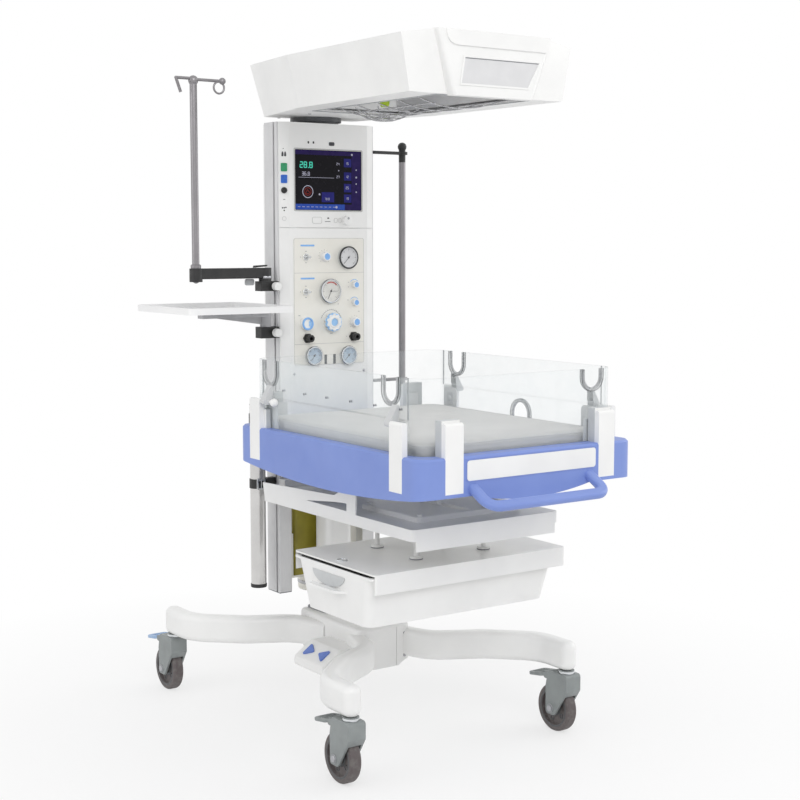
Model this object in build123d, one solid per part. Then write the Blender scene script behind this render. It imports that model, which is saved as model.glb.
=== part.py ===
from build123d import *
from math import atan2, cos, degrees, radians, sin
import os

# Infant radiant warmer: wheeled base, lifting mast with tower, tilting bed, drawer, hood and side arms.
# Lengths in mm. X runs across the bed, the bed's front looks to -Y, the tower stands at +Y, floor at z 0.
# All positions are named from the bed's centre line; the nodes are moved at export so that the origin is
# the bottom centre of the whole.

# Fits and gaps
seat_gap = 0.3
run_gap = 0.1
slide_gap = 0.4
swing_gap = 2.0

# Casters
base_y = 303.0
stem_x = 335.0
stem_y = 459.0
leg_bottom = 171.0
wheel_r = 62.5
wheel_w = 30.0
wheel_hub_r = 15.0
wheel_hub_w = 32.0
wheel_web_r = 43.0
wheel_web_w = 14.0
tyre_round = 7.0
web_round = 2.0
axle_r = 6.0
axle_head_r = 10.0
axle_head = 3.0
trail = 36.0
fork_w = 50.0
fork_cheek = 6.5
fork_arch_gap = 4.0
fork_front = -27.0
fork_nose_z = 118.0
fork_back = 47.0
fork_back_z = 120.0
fork_toe_front = 20.0
fork_toe_back = 54.0
fork_toe_z = 46.0
fork_top = 162.0
fork_round = 9.0
fork_edge = 2.0
cap_r = 20.0
stem_pin_r = 8.0
stem_pin_up = 22.0
brake_y = 56.0
brake_z = 147.0
brake_pin_r = 4.0
brake_barrel_r = 8.0
brake_barrel_w = 34.0
brake_lug = 6.0
brake_w = 60.0
brake_start = 64.0
brake_end = 122.0
brake_t = 9.0
brake_drop = 9.0
brake_round = 12.0
brake_edge = 2.5
brake_neck_w = 30.0

# Legs and hub
leg_h = 76.0
leg_w = 48.0
leg_round = 18.0
leg_path = [(64.0, 238.0), (98.0, 124.0), (225.0, 56.0), (335.0, -50.0), (335.0, -156.0)]
leg_bend = 108.0
half_turn = 180.0
full_turn = 360.0
hub_w = 164.0
hub_front = 186.0
hub_back = 500.0
hub_bottom = 150.0
hub_top = 262.0
hub_corner = 22.0
hub_edge = 9.0
hub_arch_r = 60.0
hub_arch_drop = 44.0
hub_seam_x = 33.0
hub_seam_w = 1.6
hub_seam_deep = 2.0

# Lift column and stage
lift_y = 445.0
lift_w = 80.0
lift_round = 20.0
lift_wall = 5.0
lift_top = 560.0
lift_lip = 10.0
flange_w = 104.0
flange_t = 10.0
stage_w = 58.0
stage_round = 8.0
stage_wall = 4.0
stage_bottom = 292.0

# Foot control
foot_outline = [(-82.0, 140.0), (-82.0, 216.0), (-138.0, 216.0), (-192.0, 178.0), (-192.0, 156.0), (-150.0, 140.0)]
foot_y0 = 198.0
foot_y1 = 342.0
foot_round = 10.0
foot_edge = 3.0
button_y = [304.0, 236.0]
button_turn = [90.0, -90.0]
button_r = 24.0
button_round = 4.0
button_proud = 3.5
button_deep = 6.0
button_travel = 3.0
button_guide_r = 6.0
button_guide = 8.0

# Carrier frame
sheet = 4.0
carrier_x = 222.0
carrier_y0 = -246.0
carrier_y1 = 447.0
carrier_top = 614.0
carrier_side = 28.0
carrier_flange = 53.0
carrier_round = 12.0
gusset_back_z = 635.0
gusset_mid_y = 90.0
gusset_mid_z = 650.0
post_y0 = -6.0
post_y1 = 24.0
pivot_y = 9.0
pivot_z = 684.0
pivot_eye_r = 15.0
pivot_pin_r = 6.0
pivot_pin = 14.0
window_pts = [(226.0, 618.0), (84.0, 634.0), (34.0, 637.0), (34.0, 618.0)]
pad_x = 158.0
pad_y0 = -178.0
pad_y1 = 68.0
pad_t = 13.0
pad_round = 10.0
pad_screw_r = 6.0
pad_screw_h = 4.0
pad_screw_in = 16.0
slot_w = 26.0
slot_y0 = -158.0
slot_y1 = 80.0
mount_x = 156.0
mount_z0 = 568.0

# Tilt sector
sector_t = 10.0
sector_r = 146.0
sector_hub_r = 26.0
sector_front_deg = 50.0
sector_back_deg = 20.0
sector_band = 30.0
sector_neck_y0 = -60.0
sector_neck_y1 = 60.0

# Drawer housing, feet and bin
house_x = 292.0
house_y0 = -194.0
house_y1 = 168.0
house_top = 507.0
house_low = 459.5
house_round = 10.0
foot_x = 104.0
foot_ys = [74.0, -96.0]
foot_rod_r = 6.0
foot_pad_r = 16.0
foot_pad_t = 8.0
hole_x = -263.0
hole_y = -9.0
hole_r = 9.0
hole_ring = 5.0
hole_ring_t = 2.0
rail_w = 9.0
rail_t = 7.0
bin_x0 = -296.0
bin_x1 = 276.0
bin_y0 = -179.0
bin_y1 = 153.0
bin_low_x0 = -289.0
bin_low_x1 = 252.0
bin_low_y0 = -160.0
bin_low_y1 = 118.0
bin_bottom = 374.0
bin_rim_z = 497.0
bin_lip = 8.0
bin_lip_t = 5.0
bin_wall = 4.0
rail_z = bin_rim_z - bin_lip_t - seat_gap
bin_round = 26.0
bin_low_round = 28.0
scoop_y = 2.0
scoop_r = 77.0
scoop_out = 20.0
scoop_z = 441.0
scoop_t = 6.0

# Mast columns
col_x0 = 116.0
col_x1 = 156.0
col_y0 = 474.0
col_y1 = 540.0
col_z0 = 318.0
tower_top = 1595.0
groove_y = 488.0
groove_w = 8.0
groove_lip = 3.0
groove_in_w = 16.0
groove_deep = 11.0
col_edge = 3.0

# Tower front
front_y = 460.0
strip_y = 471.0
strip_x = 150.0
front_x = 125.0
body_x = 115.6
body_y1 = 540.0
split_z = 1315.0
gas_z0 = 932.0
cover_z0 = 640.0
split_gap = 1.0
body_wall = 4.0
screen_z = 1443.0
screen_w = 210.7
screen_h = 158.9
screen_edge = 5.0
screen_deep = 4.0
screen_in = 1.0
screen_round = 4.0
panel_w = 226.0
panel_z0 = 942.0
panel_z1 = 1287.0
panel_t = 1.5
panel_round = 6.0
rear_y1 = 610.0
rear_x = 150.0
rear_in_x = 118.0
rear_z0 = 880.0
rear_round = 16.0
vent_n = 9
vent_w = 150.0
vent_h = 6.0
vent_step = 20.0
vent_z = 1080.0

# Controls on the tower front: across, up, radius, length
shaft_r = 3.0
shaft_in = 12.0
dial_at = (56.0, 1335.0)
dial_r = 13.0
dial_len = 12.0
knob_at = [(-16.0, 1237.0), (81.0, 1159.0), (81.0, 1110.0), (-77.0, 1056.0), (5.0, 1058.0), (81.0, 1056.0)]
knob_r = [12.0, 10.0, 10.0, 17.0, 24.0, 12.0]
knob_len = [16.0, 13.0, 13.0, 12.0, 18.0, 15.0]
knob_flutes = [0, 12, 12, 0, 10, 0]
flute_share = 0.16
knob_edge_share = 0.12
pointer_w_share = 0.22
pointer_deep = 1.2
toggle_at = [(-75.0, 1236.0), (-76.0, 1142.0)]
toggle_ball_r = 5.0
toggle_pin_r = 1.6
toggle_lever_r = 2.6
toggle_tip_r = 3.6
toggle_len = 18.0
toggle_seat_r = 11.0
toggle_seat_t = 2.5
toggle_cup = 0.6
gauge_at = [(57.0, 1234.0), (-1.0, 1143.0), (-55.0, 968.0), (57.0, 965.0)]
gauge_r = [30.0, 32.0, 25.0, 25.0]
gauge_t = 12.0
gauge_rim = 3.0
gauge_deep = 3.0
socket_at = [(-72.0, 1016.0), (77.0, 1016.0)]
socket_r = 10.0
socket_len = 22.0
socket_bore = 5.0
socket_nut_r = 14.0
socket_nut = 5.0

# Side tube, strap, rear box, canister
tube_x = -207.0
tube_y = 500.0
tube_r = 21.0
tube_wall = 2.0
tube_z0 = 338.0
tube_z1 = 840.0
strap_z0 = 612.0
strap_z1 = 637.0
strap_t = 2.0
strap_block_w = 20.0
clip_z0 = 790.0
clip_z1 = 815.0
box_x = 90.0
box_y0 = 505.0
box_y1 = 560.0
box_z0 = 352.0
box_z1 = 590.0
box_round = 10.0
box_edge = 2.0
cradle_t = 6.0
cradle_side = 22.0
can_y = 540.0
can_r = 50.0
can_z0 = 300.0
can_z1 = 345.0
can_edge = 6.0
can_neck_r = 22.0

# Accessory pole on the right
rpole_x = 258.0
rpole_y = 480.0
rpole_r = 9.5
rpole_z0 = 830.0
rpole_z1 = 1543.0
rpole_ball_r = 12.5
rpole_arm_z = [1538.0, 900.0]
rpole_arm_w = 18.0
rpole_arm_t = 8.0
rpole_eye_r = 15.0

# Rail clamps, arm and IV pole on the left
arm_x = -190.0
arm_y = 480.0
clamp_x0 = -212.0
clamp_y0 = 463.0
clamp_y1 = 498.0
iv_clamp_z0 = 1146.0
iv_clamp_z1 = 1172.0
tray_clamp_z0 = 1020.0
tray_clamp_z1 = 1050.0
clamp_pin_r = 7.0
clamp_pin_up = 22.0
clamp_knob_r = 11.0
clamp_knob_len = 16.0
clamp_screw_r = 4.0
clamp_screw_len = 8.0
iv_arm_z0 = 1180.0
iv_arm_z1 = 1208.0
iv_arm_w = 26.0
iv_pole_x = -396.0
iv_pole_r = 9.5
iv_pole_z1 = 1688.0
iv_end_r = 17.0
iv_end_z0 = 1173.0
iv_top_r = 13.0
iv_hook_r = 4.0
iv_left = 49.0
iv_left_z = 1693.0
iv_hook_drop = 36.0
iv_right = 84.0
iv_right_z = 1691.0
iv_ball_r = 9.0
ring_r = 15.0
ring_bar_r = 2.6
ring_drop = 17.0
ring_x = 74.0

# Shelf tray on the left
tray_w = 305.0
tray_d = 320.0
tray_cx = -334.0
tray_cy = 495.0
tray_z0 = 1094.0
tray_t = 3.0
tray_rim = 16.0
tray_round = 18.0
tray_arm_z0 = 1055.0
tray_arm_t = 28.0
tray_arm_w = 30.0
tray_arm_x0 = -385.0
tray_boss_r = 15.0

# Bed: skirt, tray deck and mattress
skirt_x = 319.0
skirt_y0 = -411.0
skirt_y1 = 409.0
skirt_round = 41.0
skirt_top = 804.0
skirt_end_z = 715.0
skirt_mid_z = 689.0
skirt_wall = 8.0
skirt_bevel = 5.0
ledge_t = 8.0
ledge_x = 282.4
ledge_y = 363.8
ledge_round = 20.0
apron_x = 182.0
apron_mid_z = 694.0
handle_x = 173.0
handle_out = 60.0
handle_root_z = 733.0
handle_bar_z = 697.0
handle_bar = 27.0
handle_t = 19.0
handle_round = 8.0
handle_bend = 30.0
deck_x = 300.0
deck_y0 = -390.0
deck_y1 = 390.0
deck_t = 7.0
deck_round = 24.0
rib_t = 5.0
rib_h = 22.0
rib_ys = [-300.0, -150.0, 150.0, 300.0]
ear_x = 204.0
ear_t = 10.0
ear_w = 60.0
mat_x = 281.0
mat_y = 360.0
mat_top = 830.0
mat_crown = 1.6
mat_draw = 4.0
mat_belly = 2.5
mat_low_share = 0.35
mat_high_share = 0.75
mat_corner = 34.0

# Walls
wall_x = 291.0
wall_y = 372.5
wall_t = 5.0
wall_round = 48.0
wall_top = 977.0
seam_y = 323.0
seam_gap = 1.0
band_top = 880.0
flap_low = 882.0
notch_w = 60.0
notch_deep = 61.0
notch_round = 28.0
front_notch_x = 213.0
front_notch_deep = 48.0
left_notch_ys = [284.0, -255.0]
right_notch_ys = [260.0]
arch_y0 = -49.0
arch_y1 = 17.0
arch_top = 864.0

# Wall posts and clips
wpost_w = 50.0
wpost_t = 15.0
wpost_z0 = 722.0
wpost_top = 880.0
wpost_round = 7.0
side_post_y = 316.0
end_post_x = 226.0
side_clip_w = 56.0
side_clip_shift = 32.0
side_clip_round = 12.0
end_clip_w = 40.0
end_clip_shift = 14.0
side_clip_top = 876.0
end_clip_top = 858.0
clip_t = 2.6
spacer_top = 852.0
spacer_w = 40.0
end_spacer_top = 885.0

# Flap hinges and latch
hinge_x = 311.5
hinge_z = 872.5
hinge_pin_r = 3.0
hinge_pin_in = 14.0
hinge_arm_w = 22.0
hinge_eye_r = 7.0
hinge_arm_z0 = 887.0
hinge_arm_z1 = 914.0
hinge_arm_t = 4.0
latch_y = 246.0
latch_x = 302.0
latch_z = 872.5
latch_ball_r = 10.5
latch_stem_r = 3.5
latch_end_gap = 2.0

# Hood
hood_y = 525.0
hood_z0 = 1613.0
hood_z1 = 1755.0
hood_low_nose_x = 150.0
hood_low_nose_y = -234.0
hood_low_cheek_x = 226.0
hood_low_cheek_y = -238.0
hood_low_side_x = 212.0
hood_low_side_y = 262.0
hood_low_tail_x = 142.0
hood_low_tail_y = 560.0
hood_high_nose_x = 168.0
hood_high_nose_y = -252.0
hood_high_cheek_x = 253.0
hood_high_cheek_y = -240.0
hood_high_side_x = 232.0
hood_high_side_y = 290.0
hood_high_tail_x = 150.0
hood_high_tail_y = 620.0
hood_ridge_x = 160.0
hood_fall_x = 260.0
hood_fall = 14.4
fascia_low_x = 116.0
fascia_high_x = 168.0
fascia_low_y = -260.0
fascia_high_y = -268.0
fascia_t = 26.0
fascia_z0 = 1609.0
fascia_round = 8.0
hood_wall = 5.0
hood_roof = 5.0
hood_floor = 5.0
hood_floor_y = 330.0
swivel_r = 70.0
swivel_low_r = 62.0
swivel_seat = 6.0
swivel_pin_r = 12.0
swivel_pin_in = 14.0

# Heater
heat_x = 118.0
heat_y0 = -200.0
heat_y1 = 300.0
heat_rim = 14.0
heat_z0 = 1622.0
heat_z1 = 1690.0
heat_top_share = 0.55
heat_t = 2.0
element_r = 9.0
element_z = 1650.0
element_y0 = -150.0
element_y1 = 250.0
element_end_r = 13.0
element_end = 22.0
element_x = 34.0
guard_z = 1617.0
guard_r = 1.5
guard_frame_r = 2.4
guard_long_r = 1.8
guard_bow = 22.0
guard_cross_n = 7
guard_long_x = 72.0

# The whole, for the origin
origin_x = (tray_cx - tray_w / 2 + stem_x + brake_w / 2) / 2
origin_y = (skirt_y0 - handle_out - handle_bar / 2 + base_y + stem_y + brake_end) / 2


def block(x0, x1, y0, y1, z0, z1):
    """Box between two corners."""
    return Pos((x0 + x1) / 2, (y0 + y1) / 2, (z0 + z1) / 2) * Box(x1 - x0, y1 - y0, z1 - z0)


def slab(sketch, z0, z1):
    """Flat outline raised from z0 to z1."""
    return extrude(Plane.XY.offset(z0) * sketch, z1 - z0, dir=(0, 0, 1))


def side_slab(sketch, x0, x1):
    """Outline in the YZ plane, carried from x0 to x1."""
    return extrude(Plane.YZ.offset(x0) * sketch, x1 - x0, dir=(1, 0, 0))


def front_slab(sketch, y0, y1):
    """Outline in the XZ plane, carried from y0 to y1."""
    return extrude(Plane.XZ.offset(-y1) * sketch, y1 - y0, dir=(0, -1, 0))


def outline(points):
    """Closed outline through points."""
    return Polygon(*points, align=None)


def soft_outline(points, radius):
    """Closed outline with its corners rounded."""
    sketch = outline(points)
    return fillet(sketch.vertices(), radius)


def rod(start, end, radius):
    """Round bar from one point to another."""
    way = Vector(*end) - Vector(*start)
    line = Plane(origin=start, z_dir=way)
    return line * Cylinder(radius, way.length, align=(Align.CENTER, Align.CENTER, Align.MIN))


def rounded_block(width, depth, radius, x, y, z0, z1):
    """Upright block with rounded corners round a centre."""
    return slab(Pos(x, y) * RectangleRounded(width, depth, radius), z0, z1)


# Casters, built round their own stem at the origin

def caster_wheel():
    """Wheel with crowned tyre, recessed web and axle bore."""
    half, web, hub = wheel_w / 2, wheel_web_w / 2, wheel_hub_w / 2
    rim = wheel_web_r + web_round
    pts = [(-hub, axle_r + run_gap), (hub, axle_r + run_gap), (hub, wheel_hub_r), (web, wheel_hub_r + web_round),
           (web, wheel_web_r), (half, rim), (half, wheel_r), (-half, wheel_r), (-half, rim),
           (-web, wheel_web_r), (-web, wheel_hub_r + web_round), (-hub, wheel_hub_r)]
    face = outline(pts)
    crown = [v for v in face.vertices() if v.Y > wheel_r - web_round]
    face = fillet(crown, tyre_round)
    return Pos(0, trail, wheel_r) * revolve(face, Axis.X)


def caster_fork():
    """Fork housing with arch over the wheel, swivel cap, stem, axle and brake lugs."""
    pts = [(fork_front, fork_nose_z), (fork_front, fork_top), (fork_back, fork_top), (fork_back + fork_round,
           fork_back_z), (fork_toe_back, fork_toe_z), (fork_toe_front, fork_toe_z)]
    shell = side_slab(soft_outline(pts, fork_round), -fork_w / 2, fork_w / 2)
    shell = fillet(shell.faces().filter_by(Axis.X).edges(), fork_edge)
    arch_half = fork_w / 2 - fork_cheek
    axle_at = (trail, wheel_r)
    arch = side_slab(Pos(*axle_at) * Circle(wheel_r + fork_arch_gap), -arch_half, arch_half)
    shell -= arch
    lug_r = brake_barrel_r
    lug_in = fork_w / 2 - brake_lug
    for side in (-1, 1):
        lug = outline([(fork_back - lug_r, brake_z - lug_r), (brake_y, brake_z - lug_r),
                       (brake_y, brake_z + lug_r), (fork_back - lug_r, brake_z + lug_r)])
        lug += Pos(brake_y, brake_z) * Circle(lug_r)
        edges = sorted([side * lug_in, side * fork_w / 2])
        shell += side_slab(lug, edges[0], edges[1])
    pocket = side_slab(Pos(brake_y, brake_z) * Circle(brake_barrel_r + swing_gap), -lug_in, lug_in)
    shell -= pocket
    shell += rod((-fork_w / 2, brake_y, brake_z), (fork_w / 2, brake_y, brake_z), brake_pin_r)
    shell += rod((-fork_w / 2 - axle_head, trail, wheel_r), (fork_w / 2 + axle_head, trail, wheel_r), axle_r)
    for side in (-1, 1):
        shell += rod((side * (fork_w / 2), trail, wheel_r), (side * (fork_w / 2 + axle_head), trail, wheel_r),
                     axle_head_r)
    shell += Pos(0, 0, fork_top - fork_edge) * Cylinder(
        cap_r, leg_bottom - seat_gap - fork_top + fork_edge, align=(Align.CENTER, Align.CENTER, Align.MIN))
    shell += rod((0, 0, leg_bottom - seat_gap - fork_edge), (0, 0, leg_bottom + stem_pin_up), stem_pin_r)
    return shell


def caster_brake():
    """Foot pedal with a barrel round the fork's pin and a broad rounded pad over the wheel."""
    barrel_half = brake_barrel_w / 2
    barrel = rod((-barrel_half, brake_y, brake_z), (barrel_half, brake_y, brake_z), brake_barrel_r)
    neck = block(-brake_neck_w / 2, brake_neck_w / 2, brake_y, brake_start + brake_round, brake_z - brake_t / 2,
                 brake_z + brake_t / 2)
    length = brake_end - brake_start
    tilt = degrees(atan2(brake_drop, length))
    pad = slab(RectangleRounded(brake_w, length, brake_round), -brake_t / 2, brake_t / 2)
    pad = fillet(pad.faces().filter_by(Axis.Z).edges(), brake_edge)
    pad = Pos(0, brake_start + length / 2, brake_z - brake_drop / 2) * Rot(-tilt, 0, 0) * pad
    pedal = barrel + neck + pad
    return pedal - rod((-brake_w, brake_y, brake_z), (brake_w, brake_y, brake_z), brake_pin_r + run_gap)


def caster_places():
    """Stem positions: front left, front right, rear left, rear right."""
    return [(sx * stem_x, base_y + sy * stem_y) for sy in (-1, 1) for sx in (-1, 1)]


# Base

def base_hub():
    """Hub casting with arched flanks under the legs, a seam line and rounded corners."""
    depth = hub_back - hub_front
    mid = (hub_front + hub_back) / 2
    hub = rounded_block(hub_w, depth, hub_corner, 0, mid, hub_bottom, hub_top)
    hub = fillet(hub.faces().sort_by(Axis.Z)[-1].edges(), hub_edge)
    for y in (hub_front, hub_back):
        for side in (-1, 1):
            arch = Pos(side * hub_w / 2, y, hub_bottom - hub_arch_drop) * Sphere(hub_arch_r)
            hub -= arch
    seam = block(hub_seam_x, hub_seam_x + hub_seam_w, hub_front - hub_edge, hub_front + hub_seam_deep,
                 hub_bottom, hub_top)
    return hub - seam


def base_leg(hub):
    """Front right leg: a rounded bar bent in an S from the hub to the caster stem, with a bored round end."""
    mid_z = leg_bottom + leg_h / 2
    path = FilletPolyline(*[(x, y, mid_z) for x, y in leg_path], radius=leg_bend)
    start = Plane(origin=path @ 0, z_dir=path % 0, x_dir=Vector(0, 0, 1).cross(path % 0))
    bar = sweep(start * RectangleRounded(leg_w, leg_h, leg_round), path=path)
    half = Pos(leg_w / 4, 0) * Rectangle(leg_w / 2, leg_h)
    cap_face = Plane.XZ * (RectangleRounded(leg_w, leg_h, leg_round) & half)
    end_x, end_y = leg_path[-1]
    cap = Pos(end_x, end_y, mid_z) * Rot(0, 0, half_turn) * revolve(cap_face, Axis.Z, half_turn)
    leg = bar + cap
    bore = rod((end_x, end_y, leg_bottom - run_gap), (end_x, end_y, leg_bottom + stem_pin_up + swing_gap),
               stem_pin_r + run_gap)
    return leg - bore - hub


def base_legs(hub):
    """Four legs, mirrored about the base's two middle planes."""
    one = base_leg(hub)
    right = mirror(one, Plane.XZ.offset(-base_y)) - hub
    return [one, mirror(one, Plane.YZ), right, mirror(right, Plane.YZ)]


def lift_column():
    """Fixed outer column on a foot flange, open inside for the moving stage, with a guiding lip on top."""
    tube = rounded_block(lift_w, lift_w, lift_round, 0, lift_y, hub_top, lift_top)
    inner = lift_w - lift_wall - lift_wall
    tube -= rounded_block(inner, inner, lift_round - lift_wall, 0, lift_y, hub_top + flange_t, lift_top - lift_lip)
    mouth = stage_w + seat_gap + seat_gap
    tube -= rounded_block(mouth, mouth, stage_round + seat_gap, 0, lift_y, lift_top - lift_lip, lift_top)
    flange = rounded_block(flange_w, flange_w, lift_round, 0, lift_y, hub_top, hub_top + flange_t)
    return tube + flange


def foot_control():
    """Pedal box on the hub's left flank with two pockets for the buttons in its sloped face."""
    box = front_slab(outline(foot_outline), foot_y0, foot_y1)
    upright = [e for e in box.edges().filter_by(Axis.Y) if e.center().X < foot_outline[0][0] - foot_edge]
    box = fillet(upright, foot_round)
    ends = [e for e in box.faces().filter_by(Axis.Y).edges() if e.center().X < foot_outline[0][0] - foot_edge]
    box = fillet(ends, foot_edge)
    for y, turn in zip(button_y, button_turn):
        place = button_plane(y)
        pocket = extrude(place * Rot(0, 0, turn) * button_shape(slide_gap), -(button_deep + button_travel))
        guide = place * Pos(0, 0, -(button_deep + button_travel + button_guide)) * Cylinder(
            button_guide_r + run_gap, button_guide + run_gap, align=(Align.CENTER, Align.CENTER, Align.MIN))
        box = box - pocket - guide
    return box


def button_plane(y):
    """Plane of the sloped pedal face at one button."""
    high, low = foot_outline[2], foot_outline[3]
    slope = Vector(low[0] - high[0], 0, low[1] - high[1])
    out = slope.cross(Vector(0, 1, 0))
    if out.Z < 0:
        out = -out
    return Plane(origin=((high[0] + low[0]) / 2, y, (high[1] + low[1]) / 2), x_dir=slope, z_dir=out)


def button_shape(extra):
    """Rounded triangle, grown by a gap for its pocket."""
    tri = RegularPolygon(button_r + extra + extra, 3)
    return fillet(tri.vertices(), button_round + extra)


def foot_button(y, turn):
    """Triangular foot button with a round guide stub."""
    place = button_plane(y)
    top = extrude(place * Rot(0, 0, turn) * button_shape(0), button_proud)
    top += extrude(place * Rot(0, 0, turn) * button_shape(0), -button_deep)
    stub = place * Pos(0, 0, -(button_deep + button_guide)) * Cylinder(
        button_guide_r, button_guide + button_deep, align=(Align.CENTER, Align.CENTER, Align.MIN))
    return top + stub


# Lift and carrier

def lift_stage():
    """Moving steel stage inside the column, up to the carrier's top plate."""
    stage = rounded_block(stage_w, stage_w, stage_round, 0, lift_y, stage_bottom, carrier_top - sheet)
    inner = stage_w - stage_wall - stage_wall
    bore = rounded_block(inner, inner, stage_round - stage_wall, 0, lift_y, stage_bottom, carrier_top - sheet)
    return stage - bore


def carrier_frame():
    """Folded sheet carrier: top plate, side, front and rear flanges, pivot posts with gussets, raised pad."""
    mid = (carrier_y0 + carrier_y1) / 2
    depth = carrier_y1 - carrier_y0
    low = carrier_top - carrier_side
    pan = rounded_block(carrier_x * 2, depth, carrier_round, 0, mid, low, carrier_top)
    inner = rounded_block((carrier_x - sheet) * 2, depth - sheet - sheet, carrier_round - sheet, 0, mid, low,
                          carrier_top - sheet)
    pan -= inner
    pan += block(-carrier_x + carrier_round, carrier_x - carrier_round, carrier_y0, carrier_y0 + sheet,
                 carrier_top - carrier_flange, low)
    side = [(carrier_y1 - carrier_round, low), (carrier_y1, gusset_back_z), (gusset_mid_y, gusset_mid_z),
            (post_y1, pivot_z), (post_y0, pivot_z), (post_y0, low)]
    web = outline(side) + Pos(pivot_y, pivot_z) * Circle(pivot_eye_r)
    web -= outline(window_pts)
    for sign in (-1, 1):
        edges = sorted([sign * (carrier_x - sheet), sign * carrier_x])
        pan += side_slab(web, edges[0], edges[1])
        pin_in = sign * (carrier_x - sheet - pivot_pin)
        pan += rod((pin_in, pivot_y, pivot_z), (sign * carrier_x, pivot_y, pivot_z), pivot_pin_r)
    pad = slab(Pos(0, (pad_y0 + pad_y1) / 2) * RectangleRounded(pad_x * 2, pad_y1 - pad_y0, pad_round),
               carrier_top - sheet, carrier_top + pad_t)
    pan += fillet(pad.faces().sort_by(Axis.Z)[-1].edges(), sheet)
    pan -= rounded_block(slot_w, slot_y1 - slot_y0, sheet, 0, (slot_y0 + slot_y1) / 2, low, pivot_z)
    pan += block(-mount_x, mount_x, carrier_y1 - sheet, col_y0, mount_z0, gusset_back_z)
    pan -= rounded_block(stage_w, stage_w, stage_round, 0, lift_y, mount_z0, carrier_top - sheet)
    top = carrier_top + pad_t
    for x in (-pad_x + pad_screw_in, pad_x - pad_screw_in):
        for y in (pad_y0 + pad_screw_in, pad_y1 - pad_screw_in):
            pan += rod((x, y, top - sheet), (x, y, top + pad_screw_h), pad_screw_r)
    return pan


def tilt_sector():
    """Toothless sector plate that hangs from the deck through the carrier's slot, round the tilt axis."""
    ring = Circle(sector_r)
    hole = Circle(sector_r - sector_band)
    far = sector_r + sector_r
    front_a, back_a = radians(sector_front_deg), radians(sector_back_deg)
    fan = outline([(0, 0), (-far * sin(front_a), -far * cos(front_a)), (0, -far),
                   (far * sin(back_a), -far * cos(back_a))])
    band = (ring & fan) - hole
    spoke_w = sector_band / 2
    arm = Circle(sector_hub_r)
    for angle in (-sector_front_deg + sector_back_deg / 2, sector_back_deg / 2):
        reach = sector_r - sector_band / 2
        arm += Rot(0, 0, angle) * Pos(0, -reach / 2) * Rectangle(spoke_w, reach)
    plate = Pos(pivot_y, pivot_z) * (band + (arm & (ring & (fan + Circle(sector_hub_r)))))
    neck = outline([(pivot_y - sector_hub_r, pivot_z), (pivot_y + sector_hub_r, pivot_z),
                    (sector_neck_y1, deck_low()), (sector_neck_y0, deck_low())])
    return side_slab(plate + neck, -sector_t / 2, sector_t / 2)


def deck_low():
    """Underside of the deck plate."""
    return skirt_top - ledge_t - deck_t


# Drawer

def drawer_housing():
    """Open tray-shaped housing upside down, with runner rails, hung on four round feet."""
    mid = (house_y0 + house_y1) / 2
    depth = house_y1 - house_y0
    shell = rounded_block(house_x * 2, depth, house_round, 0, mid, house_low, house_top)
    inner_x1 = house_x - sheet
    shell -= block(-house_x, inner_x1, house_y0 + sheet, house_y1 - sheet, house_low, house_top - sheet)
    for y0, y1 in ((house_y0 + sheet, house_y0 + sheet + rail_w), (house_y1 - sheet - rail_w, house_y1 - sheet)):
        shell += block(-house_x + house_round, inner_x1, y0, y1, rail_z - rail_t, rail_z)
    shell += Pos(hole_x, hole_y, house_top) * Cylinder(
        hole_r + hole_ring, hole_ring_t, align=(Align.CENTER, Align.CENTER, Align.MIN))
    shell -= rod((hole_x, hole_y, house_top - sheet), (hole_x, hole_y, house_top + hole_ring_t), hole_r)
    for x in (-foot_x, foot_x):
        for y in foot_ys:
            shell += rod((x, y, house_top), (x, y, carrier_top - sheet), foot_rod_r)
            shell += rod((x, y, house_top), (x, y, house_top + foot_pad_t), foot_pad_r)
    return shell


def bin_form(inset, z0, z1):
    """Tapered bin body, drawn in by a wall."""
    low = Pos((bin_low_x0 + bin_low_x1) / 2, (bin_low_y0 + bin_low_y1) / 2) * RectangleRounded(
        bin_low_x1 - bin_low_x0 - inset * 2, bin_low_y1 - bin_low_y0 - inset * 2, bin_low_round - inset)
    high = Pos((bin_x0 + bin_x1) / 2, (bin_y0 + bin_y1) / 2) * RectangleRounded(
        bin_x1 - bin_x0 - inset * 2, bin_y1 - bin_y0 - inset * 2, bin_round - inset)
    return loft([Plane.XY.offset(z0) * low, Plane.XY.offset(z1) * high])


def drawer_bin():
    """Moulded drawer: tapered bin with a hanging rim and a half-moon pull on its left end."""
    body = bin_form(0, bin_bottom, bin_rim_z)
    rim = block(bin_x0, bin_x1, bin_y0 - bin_lip, bin_y1 + bin_lip, bin_rim_z - bin_lip_t, bin_rim_z)
    rim = fillet(rim.edges().filter_by(Axis.Z), bin_lip)
    pull = Pos(bin_x0 + scoop_out / 2, scoop_y) * Ellipse(scoop_out * 2, scoop_r)
    pull &= Pos(bin_x0, scoop_y) * Rectangle(scoop_out * 2, scoop_r * 2)
    lip = slab(pull, scoop_z, scoop_z + scoop_t)
    whole = body + rim + lip
    return whole - bin_form(bin_wall, bin_bottom + bin_wall, bin_rim_z)


# Mast

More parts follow.
